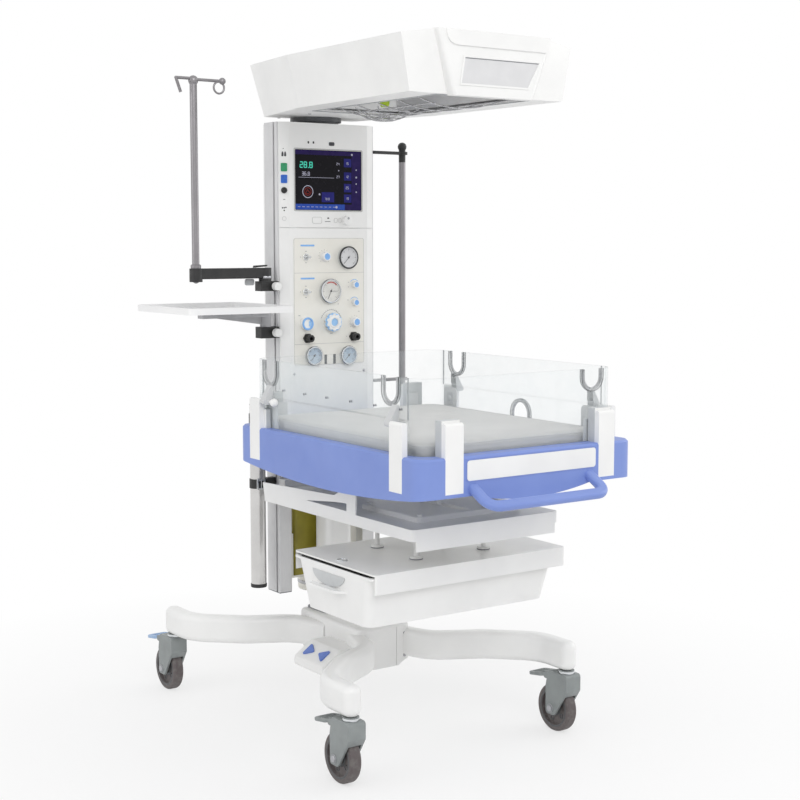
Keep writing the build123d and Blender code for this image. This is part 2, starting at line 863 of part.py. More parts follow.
def mast_columns():
    """Two aluminium columns with an undercut groove in the outer flank."""
    cols = []
    for side in (-1, 1):
        near, far = sorted([side * col_x0, side * col_x1])
        face = Pos((near + far) / 2, (col_y0 + col_y1) / 2) * RectangleRounded(
            col_x1 - col_x0, col_y1 - col_y0, col_edge)
        mouth_x = side * (col_x1 - groove_lip / 2)
        face -= Pos(mouth_x, groove_y) * Rectangle(groove_lip * 2, groove_w)
        deep_mid = side * (col_x1 - (groove_lip + groove_deep) / 2)
        face -= Pos(deep_mid, groove_y) * Rectangle(groove_deep - groove_lip, groove_in_w)
        cols.append(slab(face, col_z0, tower_top))
    return cols


def fascia_outline():
    """Plan of the tower front with its slanted side strips."""
    back = col_y0
    return outline([(-strip_x, back), (-strip_x, strip_y), (-front_x, front_y), (front_x, front_y),
                    (strip_x, strip_y), (strip_x, back)])


def tower_module(z0, z1):
    """One hollow module of the tower between the columns, with its front."""
    face = slab(fascia_outline(), z0, z1)
    body = block(-body_x, body_x, col_y0, body_y1, z0, z1)
    inner = block(-body_x + body_wall, body_x - body_wall, front_y + shaft_in + body_wall, body_y1 - body_wall,
                  z0 + body_wall, z1 - body_wall)
    return face + body - inner


def front_place(at):
    """Plane of the tower front at one control, looking to -Y."""
    return Plane(origin=(at[0], front_y, at[1]), x_dir=(1, 0, 0), z_dir=(0, -1, 0))


def front_cylinder(at, radius, near, far):
    """Round piece square to the tower front between two depths, positive outward."""
    return rod((at[0], front_y - near, at[1]), (at[0], front_y - far, at[1]), radius)


def monitor_housing():
    """Monitor housing with the screen's recess, the dial's bore and the hood's seat on top."""
    shell = tower_module(split_z, tower_top)
    recess = Pos(0, screen_z) * RectangleRounded(screen_w + screen_edge * 2, screen_h + screen_edge * 2,
                                                 screen_round)
    shell -= front_slab(recess, front_y, front_y + screen_deep)
    shell -= front_cylinder(dial_at, shaft_r + run_gap, 0, -shaft_in)
    seat = Pos(0, hood_y, tower_top - swivel_pin_in - run_gap) * Cylinder(
        swivel_pin_r + run_gap, swivel_pin_in + body_wall, align=(Align.CENTER, Align.CENTER, Align.MIN))
    boss = Pos(0, hood_y, tower_top - swivel_pin_in - body_wall) * Cylinder(
        swivel_pin_r + body_wall, swivel_pin_in + body_wall, align=(Align.CENTER, Align.CENTER, Align.MIN))
    keep = block(-body_x, body_x, col_y0, body_y1, split_z, tower_top)
    return shell + (boss & keep) - seat


def display_panel():
    """Glass screen set in the housing's recess."""
    glass = Pos(0, screen_z) * RectangleRounded(screen_w + screen_edge * 2 - seat_gap,
                                                screen_h + screen_edge * 2 - seat_gap, screen_round)
    return front_slab(glass, front_y + screen_in, front_y + screen_deep)


def gas_module():
    """Gas module with its raised panel, bores for knobs and seats for toggles, and the cover below it."""
    shell = tower_module(gas_z0, split_z - split_gap)
    shell += slab(fascia_outline(), cover_z0, gas_z0)
    panel = Pos(0, (panel_z0 + panel_z1) / 2) * RectangleRounded(panel_w, panel_z1 - panel_z0, panel_round)
    shell += front_slab(panel, front_y - panel_t, front_y)
    for at in knob_at:
        shell -= front_cylinder(at, shaft_r + run_gap, panel_t, -shaft_in)
    for at in toggle_at:
        shell += front_cylinder(at, toggle_seat_r, panel_t + toggle_seat_t, 0)
        cup = (at[0], front_y - panel_t - toggle_seat_t, at[1])
        shell -= Pos(*cup) * Sphere(toggle_ball_r + toggle_cup)
        pin = toggle_seat_r - toggle_cup
        shell += rod((at[0] - pin, cup[1] + toggle_pin_r, at[1]), (at[0] + pin, cup[1] + toggle_pin_r, at[1]),
                     toggle_pin_r)
    return shell


def panel_fittings():
    """Gauges with glazed rims and hose sockets on the gas panel."""
    pieces = []
    face = panel_t
    for at, radius in zip(gauge_at, gauge_r):
        case = front_cylinder(at, radius, face, face + gauge_t)
        case -= front_cylinder(at, radius - gauge_rim, face + gauge_t - gauge_deep, face + gauge_t)
        pieces.append(case)
    for at in socket_at:
        socket = front_cylinder(at, socket_r, face, face + socket_len)
        place = front_place(at).offset(face)
        socket += extrude(place * RegularPolygon(socket_nut_r, 6), socket_nut)
        socket -= front_cylinder(at, socket_bore, face + socket_nut, face + socket_len)
        pieces.append(socket)
    return pieces


def round_knob(at, radius, length, base, flutes):
    """Turned knob with a shaft, rounded front rim, optional flutes and a pointer groove."""
    body = front_cylinder(at, radius, base + seat_gap, base + length)
    rim = [e for e in body.edges().filter_by(GeomType.CIRCLE) if e.center().Y < front_y - base - length / 2]
    body = fillet(rim, radius * knob_edge_share)
    for k in range(flutes):
        a = radians(full_turn * k / flutes)
        spot = (at[0] + radius * cos(a), at[1] + radius * sin(a))
        body -= front_cylinder(spot, radius * flute_share, base, base + length)
    mark = Pos(at[0], at[1] + radius / 2) * Rectangle(radius * pointer_w_share, radius)
    body -= front_slab(mark, front_y - base - length, front_y - base - length + pointer_deep)
    return body + front_cylinder(at, shaft_r, base + seat_gap + seat_gap, -shaft_in + seat_gap)


def toggle(at):
    """Toggle lever turned in one piece: pivot ball round its pin, slim lever, flared round tip."""
    cup_y = front_y - panel_t - toggle_seat_t
    side = Circle(toggle_ball_r) + Pos(0, toggle_len / 2) * Rectangle(toggle_lever_r * 2, toggle_len)
    side += Pos(0, toggle_len) * Circle(toggle_tip_r)
    side &= Pos(toggle_ball_r, toggle_len / 2) * Rectangle(toggle_ball_r * 2, toggle_len * 2)
    place = Plane(origin=(at[0], cup_y, at[1]), x_dir=(1, 0, 0), z_dir=(0, 0, -1))
    lever = revolve(place * side, Axis(place.origin, (0, -1, 0)))
    reach = toggle_seat_r
    pin_y = cup_y + toggle_pin_r
    return lever - rod((at[0] - reach, pin_y, at[1]), (at[0] + reach, pin_y, at[1]), toggle_pin_r + run_gap)


def rear_cover():
    """Rear housing of the tower: hollow, round-cornered, with cooling slots."""
    y0 = body_y1 + seat_gap
    deep = rear_y1 - y0
    outer = outline([(-rear_x, y0), (-rear_in_x, rear_y1), (rear_in_x, rear_y1), (rear_x, y0)])
    corners = [v for v in outer.vertices() if v.Y > y0 + deep / 2]
    outer = fillet(corners, rear_round)
    inner = offset(outer, -body_wall)
    cover = slab(outer, rear_z0, tower_top) - slab(inner, rear_z0 + body_wall, tower_top - body_wall)
    for k in range(vent_n):
        z = vent_z + k * vent_step
        cover -= block(-vent_w / 2, vent_w / 2, rear_y1 - body_wall - body_wall, rear_y1 + body_wall, z, z + vent_h)
    return cover


def side_tube():
    """Chrome tube beside the left column with its strap and upper clip, held against the column."""
    tube = rod((tube_x, tube_y, tube_z0), (tube_x, tube_y, tube_z1), tube_r)
    tube -= rod((tube_x, tube_y, tube_z0), (tube_x, tube_y, tube_z1 - tube_wall), tube_r - tube_wall)
    pieces = [tube]
    for z0, z1 in ((strap_z0, strap_z1), (clip_z0, clip_z1)):
        band = rod((tube_x, tube_y, z0), (tube_x, tube_y, z1), tube_r + strap_t)
        band += block(tube_x, -col_x1, tube_y - strap_block_w / 2, tube_y + strap_block_w / 2, z0, z1)
        pieces.append(band - rod((tube_x, tube_y, z0), (tube_x, tube_y, z1), tube_r))
    return pieces


def rear_box():
    """Box between the columns in a U-shaped cradle, with a canister hung under it."""
    wide = box_x * 2
    deep = box_y1 - box_y0
    mid = (box_y0 + box_y1) / 2
    box = rounded_block(wide, deep, box_round, 0, mid, box_z0, box_z1)
    box = fillet(box.faces().sort_by(Axis.Z)[-1].edges(), box_edge)
    cradle = block(-col_x0, col_x0, box_y0, box_y1 - box_round, box_z0 - cradle_t, box_z0)
    arm_y1 = box_y1 - box_round
    for side in (-1, 1):
        near, far = sorted([side * (col_x0 - cradle_side), side * col_x0])
        cradle += block(near, far, box_y0, arm_y1, box_z0, (box_z0 + box_z1) / 2)
    can = rod((0, can_y, can_z0), (0, can_y, can_z1), can_r)
    can = fillet(can.edges().filter_by(GeomType.CIRCLE), can_edge)
    can += rod((0, can_y, can_z1), (0, can_y, box_z0 - cradle_t), can_neck_r)
    return [box, cradle, can]


def accessory_pole():
    """Round pole on the right, with a ball on top, held by two arms from the column."""
    pole = rod((rpole_x, rpole_y, rpole_z0), (rpole_x, rpole_y, rpole_z1), rpole_r)
    pole += Pos(rpole_x, rpole_y, rpole_z1) * Sphere(rpole_ball_r)
    for z in rpole_arm_z:
        half = rpole_arm_w / 2
        low = z - rpole_arm_t - half
        pole += block(col_x1, rpole_x, rpole_y - half, rpole_y + half, low, low + rpole_arm_t)
        pole += rod((rpole_x, rpole_y, low), (rpole_x, rpole_y, low + rpole_arm_t), rpole_eye_r)
    return pole


def rail_clamps():
    """Two clamp blocks on the left column, each with a pivot pin and a round clamping knob."""
    pieces = []
    for z0, z1 in ((iv_clamp_z0, iv_clamp_z1), (tray_clamp_z0, tray_clamp_z1)):
        body = block(clamp_x0, -col_x1, clamp_y0, clamp_y1, z0, z1)
        body = fillet(body.edges().filter_by(Axis.Z), col_edge)
        body += rod((arm_x, arm_y, z1), (arm_x, arm_y, z1 + clamp_pin_up), clamp_pin_r)
        mid_z = (z0 + z1) / 2
        mid_x = (-col_x1 + arm_x) / 2
        tip = clamp_y0 - clamp_screw_len
        body += rod((mid_x, clamp_y0, mid_z), (mid_x, tip, mid_z), clamp_screw_r)
        body += rod((mid_x, tip, mid_z), (mid_x, tip - clamp_knob_len, mid_z), clamp_knob_r)
        pieces.append(body)
    return pieces


def iv_pole():
    """Swivel arm with the IV pole: hook arms to both sides, ball end and open ring."""
    arm = block(iv_pole_x, arm_x, arm_y - iv_arm_w / 2, arm_y + iv_arm_w / 2, iv_arm_z0, iv_arm_z1)
    arm = fillet(arm.edges().filter_by(Axis.X), col_edge)
    low = iv_clamp_z1 + seat_gap
    arm += rod((arm_x, arm_y, low), (arm_x, arm_y, iv_arm_z1), iv_end_r)
    arm -= rod((arm_x, arm_y, low), (arm_x, arm_y, iv_clamp_z1 + clamp_pin_up + run_gap), clamp_pin_r + run_gap)
    arm += rod((iv_pole_x, arm_y, iv_end_z0), (iv_pole_x, arm_y, iv_arm_z1), iv_end_r)
    pole = rod((iv_pole_x, arm_y, iv_arm_z1), (iv_pole_x, arm_y, iv_pole_z1), iv_pole_r)
    top_z = iv_pole_z1
    pole += Pos(iv_pole_x, arm_y, top_z) * Sphere(iv_top_r)
    left_x = iv_pole_x - iv_left
    pole += rod((left_x, arm_y, iv_left_z), (iv_pole_x, arm_y, iv_left_z), iv_hook_r)
    pole += Pos(left_x, arm_y, iv_left_z) * Sphere(iv_hook_r)
    pole += rod((left_x, arm_y, iv_left_z), (left_x + iv_top_r, arm_y, iv_left_z - iv_hook_drop), iv_hook_r)
    right_x = iv_pole_x + iv_right
    pole += rod((iv_pole_x, arm_y, iv_right_z), (right_x, arm_y, iv_right_z), iv_hook_r)
    pole += Pos(right_x, arm_y, iv_right_z) * Sphere(iv_ball_r)
    ring_at = (iv_pole_x + ring_x, arm_y, iv_right_z - ring_drop)
    pole += Plane(origin=ring_at, x_dir=(1, 0, 0), z_dir=(0, 1, 0)) * Torus(ring_r, ring_bar_r)
    return arm + pole


def shelf_tray():
    """Shallow tray with a raised rim on a swivel bracket."""
    dish = rounded_block(tray_w, tray_d, tray_round, tray_cx, tray_cy, tray_z0, tray_z0 + tray_rim)
    hollow_w = tray_w - tray_t - tray_t
    hollow_d = tray_d - tray_t - tray_t
    dish -= rounded_block(hollow_w, hollow_d, tray_round - tray_t, tray_cx, tray_cy, tray_z0 + tray_t,
                          tray_z0 + tray_rim)
    arm_top = tray_arm_z0 + tray_arm_t
    arm = block(tray_arm_x0, arm_x, arm_y - tray_arm_w / 2, arm_y + tray_arm_w / 2, arm_top - tray_t - tray_t,
                tray_z0)
    arm += rod((arm_x, arm_y, tray_clamp_z1 + seat_gap), (arm_x, arm_y, tray_z0), tray_boss_r)
    web = outline([(arm_x, tray_arm_z0), (arm_x, arm_top), (tray_arm_x0, arm_top)])
    arm += front_slab(web, arm_y - tray_t, arm_y + tray_t)
    tray = dish + arm
    return tray - rod((arm_x, arm_y, tray_clamp_z1), (arm_x, arm_y, tray_clamp_z1 + clamp_pin_up + run_gap),
                      clamp_pin_r + run_gap)


# Bed

def sagging_edge(half, ends, middle, top):
    """Outline whose lower edge sags in one arc between two ends."""
    low = ThreePointArc((-half, ends), (0, middle), (half, ends))
    rest = Polyline((half, ends), (half, top), (-half, top), (-half, ends))
    return make_face(low + rest)


def deck_skirt():
    """Blue moulded skirt: hollow ring with ledge, bevelled rim, sagging lower edges and D-handle in front."""
    depth = skirt_y1 - skirt_y0
    mid = (skirt_y0 + skirt_y1) / 2
    skirt = rounded_block(skirt_x * 2, depth, skirt_round, 0, mid, skirt_mid_z, skirt_top)
    skirt = chamfer(skirt.faces().sort_by(Axis.Z)[-1].edges(), skirt_bevel)
    skirt -= rounded_block((skirt_x - skirt_wall) * 2, depth - skirt_wall * 2, skirt_round - skirt_wall, 0, mid,
                           skirt_mid_z, skirt_top - ledge_t)
    skirt -= rounded_block(ledge_x * 2, ledge_y * 2, ledge_round, 0, 0, skirt_mid_z, skirt_top)
    keep = Pos(mid, 0) * sagging_edge(depth / 2 + skirt_wall, skirt_end_z, skirt_mid_z, skirt_top)
    skirt &= side_slab(keep, -skirt_x, skirt_x)
    apron = sagging_edge(apron_x, skirt_end_z, apron_mid_z, skirt_end_z + skirt_round)
    skirt += front_slab(apron, skirt_y0, skirt_y0 + skirt_wall)
    root_y = skirt_y0 + skirt_wall / 2
    bar_y = skirt_y0 - handle_out
    path = FilletPolyline((-handle_x, root_y, handle_root_z), (-handle_x, bar_y, handle_bar_z),
                          (handle_x, bar_y, handle_bar_z), (handle_x, root_y, handle_root_z), radius=handle_bend)
    start = Plane(origin=path @ 0, z_dir=path % 0, x_dir=(1, 0, 0))
    handle = sweep(start * RectangleRounded(handle_bar, handle_t, handle_round), path=path)
    skirt += handle
    return skirt - wall_post_solids()


def wall_post_solids():
    """Eight posts round the walls."""
    posts = None
    for x, y, across in post_places():
        w, d = (wpost_w, wpost_t) if across else (wpost_t, wpost_w)
        post = block(x - w / 2, x + w / 2, y - d / 2, y + d / 2, wpost_z0, wpost_top)
        top = [e for e in post.faces().sort_by(Axis.Z)[-1].edges()
               if (e.length > wpost_t + wpost_round)]
        post = fillet(top, wpost_round)
        posts = post if posts is None else posts + post
    return posts


def post_places():
    """Post centres: four on the sides, two in front, two behind."""
    side = skirt_x - wpost_t / 2
    places = [(sx * side, sy * side_post_y, False) for sx in (-1, 1) for sy in (-1, 1)]
    front = skirt_y0 + wpost_t / 2
    back = skirt_y1 - wpost_t / 2
    return places + [(sx * end_post_x, y, True) for sx in (-1, 1) for y in (front, back)]


def wall_posts():
    """White posts, bored for the hinge pins, with grey spacers and inner clips."""
    posts = wall_post_solids()
    for sx in (-1, 1):
        for sy in (-1, 1):
            edge = sy * (side_post_y - wpost_w / 2)
            deep = edge + sy * (hinge_pin_in + run_gap)
            posts -= rod((sx * hinge_x, edge, hinge_z), (sx * hinge_x, deep, hinge_z), hinge_pin_r + run_gap)
    pieces = list(posts.solids())
    for x, y, across in post_places():
        side = 1 if x > 0 else -1
        end = 1 if y > 0 else -1
        if across:
            mid = x - side * end_clip_shift
            back = end * (wall_y - wall_t - seat_gap)
            y0, y1 = sorted([back - end * clip_t, back])
            pieces.append(block(mid - end_clip_w / 2, mid + end_clip_w / 2, y0, y1, skirt_top, end_clip_top))
            y0, y1 = sorted([end * (wall_y + seat_gap), y - end * wpost_t / 2])
            pieces.append(block(x - wpost_w / 2, x + wpost_w / 2, y0, y1, skirt_top, end_spacer_top))
        else:
            mid = y - end * side_clip_shift
            back = side * (wall_x - wall_t - seat_gap)
            x0, x1 = sorted([back - side * clip_t, back])
            clip = block(x0, x1, mid - side_clip_w / 2, mid + side_clip_w / 2, skirt_top, side_clip_top)
            corners = clip.edges().filter_by(Axis.X).group_by(Axis.Z)[-1]
            pieces.append(fillet(corners, side_clip_round))
            mid = y - end * end_clip_shift
            x0, x1 = sorted([side * (wall_x + seat_gap), x - side * wpost_t / 2])
            pieces.append(block(x0, x1, mid - spacer_w / 2, mid + spacer_w / 2, skirt_top, spacer_top))
    return pieces


def deck_tray():
    """Deck plate under the mattress with cross ribs and two pivot ears."""
    mid = (deck_y0 + deck_y1) / 2
    low = deck_low()
    deck = rounded_block(deck_x * 2, deck_y1 - deck_y0, deck_round, 0, mid, low, low + deck_t)
    for y in rib_ys:
        deck += block(-deck_x + deck_round, deck_x - deck_round, y - rib_t / 2, y + rib_t / 2, low - rib_h, low)
    for side in (-1, 1):
        near, far = sorted([side * ear_x, side * (ear_x + ear_t)])
        ear = Pos(pivot_y, pivot_z) * Circle(pivot_eye_r)
        ear += outline([(pivot_y - ear_w / 2, low), (pivot_y - pivot_eye_r, pivot_z),
                        (pivot_y + pivot_eye_r, pivot_z), (pivot_y + ear_w / 2, low)])
        ear -= Pos(pivot_y, pivot_z) * Circle(pivot_pin_r + run_gap)
        deck += side_slab(ear, near, far)
    return deck


def mattress():
    """Mattress with a crowned top and drawn-in sides, lofted through four layers."""
    low = deck_low() + deck_t + seat_gap
    high = mat_top
    layers = [(0, mat_draw), (mat_low_share, 0), (mat_high_share, mat_belly / 2), (1, mat_draw)]
    faces = []
    for share, draw in layers:
        z = low + (high - low - mat_crown) * share
        faces.append(Plane.XY.offset(z) * RectangleRounded((mat_x - draw) * 2, (mat_y - draw) * 2, mat_corner))
    body = loft(faces)
    top_z = high - mat_crown
    span = mat_y - mat_draw - mat_corner
    rise = ThreePointArc((-span, top_z), (0, high), (span, top_z))
    crown = make_face(rise + Line((span, top_z), (-span, top_z)))
    half = mat_x - mat_draw - mat_corner
    return body + side_slab(crown, -half, half)


# Walls

def wall_ring(low, high):
    """Closed clear wall ring with bent corners."""
    outer = RectangleRounded(wall_x * 2, wall_y * 2, wall_round)
    inner = RectangleRounded((wall_x - wall_t) * 2, (wall_y - wall_t) * 2, wall_round - wall_t)
    return slab(outer - inner, low, high)


def side_notch(y, out):
    """U-slot through a side wall's upper edge."""
    return _notch(notch_deep, Plane.YZ.offset(sorted([out * wall_x, out * (wall_x - wall_t)])[0] - wall_t), y)


def _notch(deep, plane, at):
    """U-slot cutter open at the top edge."""
    low = wall_top - deep
    shape = Pos(at, low + notch_round) * Circle(notch_round)
    shape += Pos(at, (low + notch_round + wall_top + wall_t) / 2) * Rectangle(
        notch_round * 2, wall_top + wall_t - low - notch_round)
    return extrude(plane * shape, wall_t + wall_t + wall_t)


def front_wall():
    """Lift-out front wall, bent round both front corners, with a U-slot in its top edge."""
    ring = wall_ring(skirt_top + seat_gap, wall_top)
    edge = -seam_y - seam_gap
    part = ring & block(-wall_x, wall_x, -wall_y, edge, skirt_top, wall_top)
    plane = Plane.XZ.offset(wall_y - wall_t - wall_t)
    return part - _notch(front_notch_deep, plane, front_notch_x)


def fixed_walls():
    """Fixed rear wall bent round both rear corners, and two lower side bands, the right one with an arch."""
    low = skirt_top + seat_gap
    edge = seam_y + seam_gap
    rear = wall_ring(low, wall_top) & block(-wall_x, wall_x, edge, wall_y, skirt_top, wall_top)
    left = block(-wall_x, -wall_x + wall_t, -seam_y, edge, low, band_top)
    right = block(wall_x - wall_t, wall_x, -seam_y, edge, low, band_top)
    arch_mid = (arch_y0 + arch_y1) / 2
    arch_half = (arch_y1 - arch_y0) / 2
    arch = Pos(arch_mid, arch_top - arch_half) * Circle(arch_half)
    arch += Pos(arch_mid, (low + arch_top - arch_half) / 2 - wall_t) * Rectangle(
        arch_half * 2, arch_top - arch_half - low + wall_t * 2)
    right -= side_slab(arch, wall_x - wall_t * 2, wall_x + wall_t)
    return rear + left + right


def wall_flap(out, notch_ys):
    """Fold-down upper side wall with U-slots and two grey hinge arms with pins."""
    near, far = sorted([out * (wall_x - wall_t), out * wall_x])
    panel = block(near, far, -seam_y + seam_gap, seam_y - seam_gap, flap_low, wall_top)
    for y in notch_ys:
        panel -= side_notch(y, out)
    hinge_low = hinge_z - hinge_eye_r
    for sy in (-1, 1):
        edge = sy * (side_post_y - wpost_w / 2 - seat_gap)
        y0, y1 = sorted([edge, edge - sy * hinge_arm_w])
        eye = Pos(out * hinge_x, hinge_z) * Circle(hinge_eye_r)
        web = outline([(out * wall_x, hinge_arm_z1), (out * wall_x, hinge_arm_z0),
                       (out * (wall_x + swing_gap), hinge_arm_z0), (out * (wall_x + swing_gap), hinge_low),
                       (out * hinge_x, hinge_low), (out * (hinge_x + hinge_eye_r), hinge_z),
                       (out * (wall_x + hinge_arm_t), hinge_arm_z1)])
        panel += front_slab(eye + web, y0, y1)
        pin_end = sy * (side_post_y - wpost_w / 2 + hinge_pin_in)
        panel += rod((out * hinge_x, edge - sy * hinge_arm_t, hinge_z), (out * hinge_x, pin_end, hinge_z),
                     hinge_pin_r)
    if out < 0:
        bore_y0 = side_post_y - wpost_w / 2 - seat_gap - hinge_arm_w
        panel -= rod((-latch_x, bore_y0, latch_z), (-latch_x, bore_y0 + hinge_arm_w / 2, latch_z),
                     latch_stem_r + run_gap)
    return panel


def wall_latch():
    """Ball knob on a plunger in the rear left hinge arm."""
    arm_y = side_post_y - wpost_w / 2 - seat_gap - hinge_arm_w
    tip = arm_y + hinge_arm_w / 2 - latch_end_gap
    knob = Pos(-latch_x, latch_y, latch_z) * Sphere(latch_ball_r)
    return knob + rod((-latch_x, latch_y, latch_z), (-latch_x, tip, latch_z), latch_stem_r)


# Hood and heater

def hood_plan(nose_x, nose_y, cheek_x, cheek_y, side_x, side_y, tail_x, tail_y):
    """Eight-cornered plan of the hood, the same on both sides."""
    return outline([(-nose_x, nose_y), (nose_x, nose_y), (cheek_x, cheek_y), (side_x, side_y), (tail_x, tail_y),
                    (-tail_x, tail_y), (-side_x, side_y), (-cheek_x, cheek_y)])


def hood_form(inset, z0, z1, roof):
    """Slant-sided hood body under a roof that falls off to both sides, drawn in by a wall."""
    low = hood_plan(hood_low_nose_x, hood_low_nose_y, hood_low_cheek_x, hood_low_cheek_y,
                    hood_low_side_x, hood_low_side_y, hood_low_tail_x, hood_low_tail_y)
    high = hood_plan(hood_high_nose_x, hood_high_nose_y, hood_high_cheek_x, hood_high_cheek_y,
                     hood_high_side_x, hood_high_side_y, hood_high_tail_x, hood_high_tail_y)
    if inset:
        low = offset(low, -inset)
        high = offset(high, -inset)
    form = loft([Plane.XY.offset(z0) * low, Plane.XY.offset(z1 - roof) * high], ruled=True)
    top = z1 - roof
    under = outline([(-hood_fall_x, z0), (-hood_fall_x, top - hood_fall), (-hood_ridge_x, top), (hood_ridge_x, top),
                     (hood_fall_x, top - hood_fall), (hood_fall_x, z0)])
    return form & front_slab(under, hood_high_nose_y, hood_high_tail_y)


def hood_fascia():
    """Moulded nose piece standing out from the hood's front, narrower below, with softened edges."""
    low = Pos(0, fascia_low_y + fascia_t / 2) * Rectangle(fascia_low_x * 2, fascia_t)
    high = Pos(0, fascia_high_y + fascia_t / 2) * Rectangle(fascia_high_x * 2, fascia_t)
    nose = loft([Plane.XY.offset(fascia_z0) * low, Plane.XY.offset(hood_z1) * high], ruled=True)
    front = nose.faces().sort_by(Axis.Y)[0]
    sides = [e for e in front.edges() if abs(e.tangent_at(0).Z) > abs(e.tangent_at(0).X)]
    return fillet(sides, fascia_round)


def hood_shell():
    """Faceted hood with a fascia: heater window in the floor, and a wall before the swivel's chamber."""
    body = hood_form(0, hood_z0, hood_z1, 0)
    hollow = hood_form(hood_wall, hood_z0, hood_z1, hood_roof)
    shell = body - hollow
    floor = hollow & block(-hood_high_cheek_x, hood_high_cheek_x, hood_high_nose_y, hood_high_tail_y, hood_z0,
                           hood_z0 + hood_floor)
    reach = heat_rim + swing_gap
    floor -= block(-heat_x - reach, heat_x + reach, heat_y0 - reach, heat_y1 + reach, hood_z0, hood_z0 + hood_floor)
    wall = hollow & block(-hood_high_cheek_x, hood_high_cheek_x, hood_floor_y, hood_floor_y + hood_wall, hood_z0,
                          hood_z1)
    return shell + floor + wall + hood_fascia()


def hood_swivel():
    """Swivel collar under the hood with a pin in the tower's seat."""
    low = tower_top + seat_gap
    collar = rod((0, hood_y, low), (0, hood_y, low + swivel_seat), swivel_low_r)
    collar += rod((0, hood_y, low + swivel_seat), (0, hood_y, hood_z0), swivel_r)
    collar = collar & block(-swivel_r, swivel_r, hood_y - swivel_r, hood_low_tail_y, low, hood_z0)
    return collar + rod((0, hood_y, tower_top - swivel_pin_in), (0, hood_y, hood_z0), swivel_pin_r)


def trough(inset, z0, z1):
    """Tapered trough, wide below and narrow above."""
    mid = (heat_y0 + heat_y1) / 2
    half_y = (heat_y1 - heat_y0) / 2
    low = Pos(0, mid) * Rectangle((heat_x - inset) * 2, (half_y - inset) * 2)
    top_x = heat_x * heat_top_share
    high = Pos(0, mid) * Rectangle((top_x - inset) * 2, (half_y - heat_x + top_x - inset) * 2)
    return loft([Plane.XY.offset(z0) * low, Plane.XY.offset(z1) * high], ruled=True)


def heater_reflector():
    """Polished trough reflector with a flat rim resting against the hood's walls."""
    shell = trough(0, heat_z0, heat_z1) - trough(heat_t, heat_z0, heat_z1 - heat_t)
    mid = (heat_y0 + heat_y1) / 2
    rim = Pos(0, mid) * Rectangle((heat_x + heat_rim) * 2, heat_y1 - heat_y0 + heat_rim * 2)
    rim -= Pos(0, mid) * Rectangle((heat_x - heat_t) * 2, heat_y1 - heat_y0 - heat_t * 2)
    shell += slab(rim, heat_z0, heat_z0 + heat_t)
    hanger = heat_x * heat_top_share / 2
    for y in (heat_y0 + heat_x, heat_y1 - heat_x):
        shell += rod((-hanger, y, heat_z1 - heat_t), (-hanger, y, hood_z1 - hood_roof), element_r / 2)
        shell += rod((hanger, y, heat_z1 - heat_t), (hanger, y, hood_z1 - hood_roof), element_r / 2)
    return shell


def heater_element():
    """Two heating rods with ceramic end caps and hangers to the reflector."""
    pieces = []
    for x in (-element_x, element_x):
        bar = rod((x, element_y0, element_z), (x, element_y1, element_z), element_r)
        for y, way in ((element_y0, 1), (element_y1, -1)):
            bar += rod((x, y, element_z), (x, y + way * element_end, element_z), element_end_r)
            bar += rod((x, y + way * element_end / 2, element_z), (x, y + way * element_end / 2, heat_z1 - heat_t),
                       element_r / 2)
        pieces.append(bar)
    return pieces


def heater_guard():
    """Wire guard: a stout frame, bowed cross wires, and long wires laid on top of them."""
    edge = heat_x + heat_rim / 2
    y0, y1 = heat_y0 - heat_rim / 2, heat_y1 + heat_rim / 2
    over = guard_frame_r
    guard = rod((-edge, y0 - over, guard_z), (-edge, y1 + over, guard_z), guard_frame_r)
    guard += rod((edge, y0 - over, guard_z), (edge, y1 + over, guard_z), guard_frame_r)
    for k in range(guard_cross_n):
        y = y0 + (y1 - y0) * k / (guard_cross_n - 1)
        if k in (0, guard_cross_n - 1):
            guard += rod((-edge, y, guard_z), (edge, y, guard_z), guard_r)
        else:
            arc = ThreePointArc((-edge, y, guard_z), (0, y, guard_z - guard_bow), (edge, y, guard_z))
            guard += sweep(Plane(origin=arc @ 0, z_dir=arc % 0) * Circle(guard_r), path=arc)
    for x in (-edge, edge):
        for y in (y0 + over + over, y1 - over - over):
            guard += rod((x, y, guard_z), (x, y, heat_z0), guard_r)
    step = (y1 - y0) / (guard_cross_n - 1)
    for x in (-guard_long_x, 0, guard_long_x):
        z = guard_z - guard_bow * (1 - (x / edge) ** 2) + guard_r
        guard += rod((x, y0 + step - over, z), (x, y1 - step + over, z), guard_long_r)
    return guard


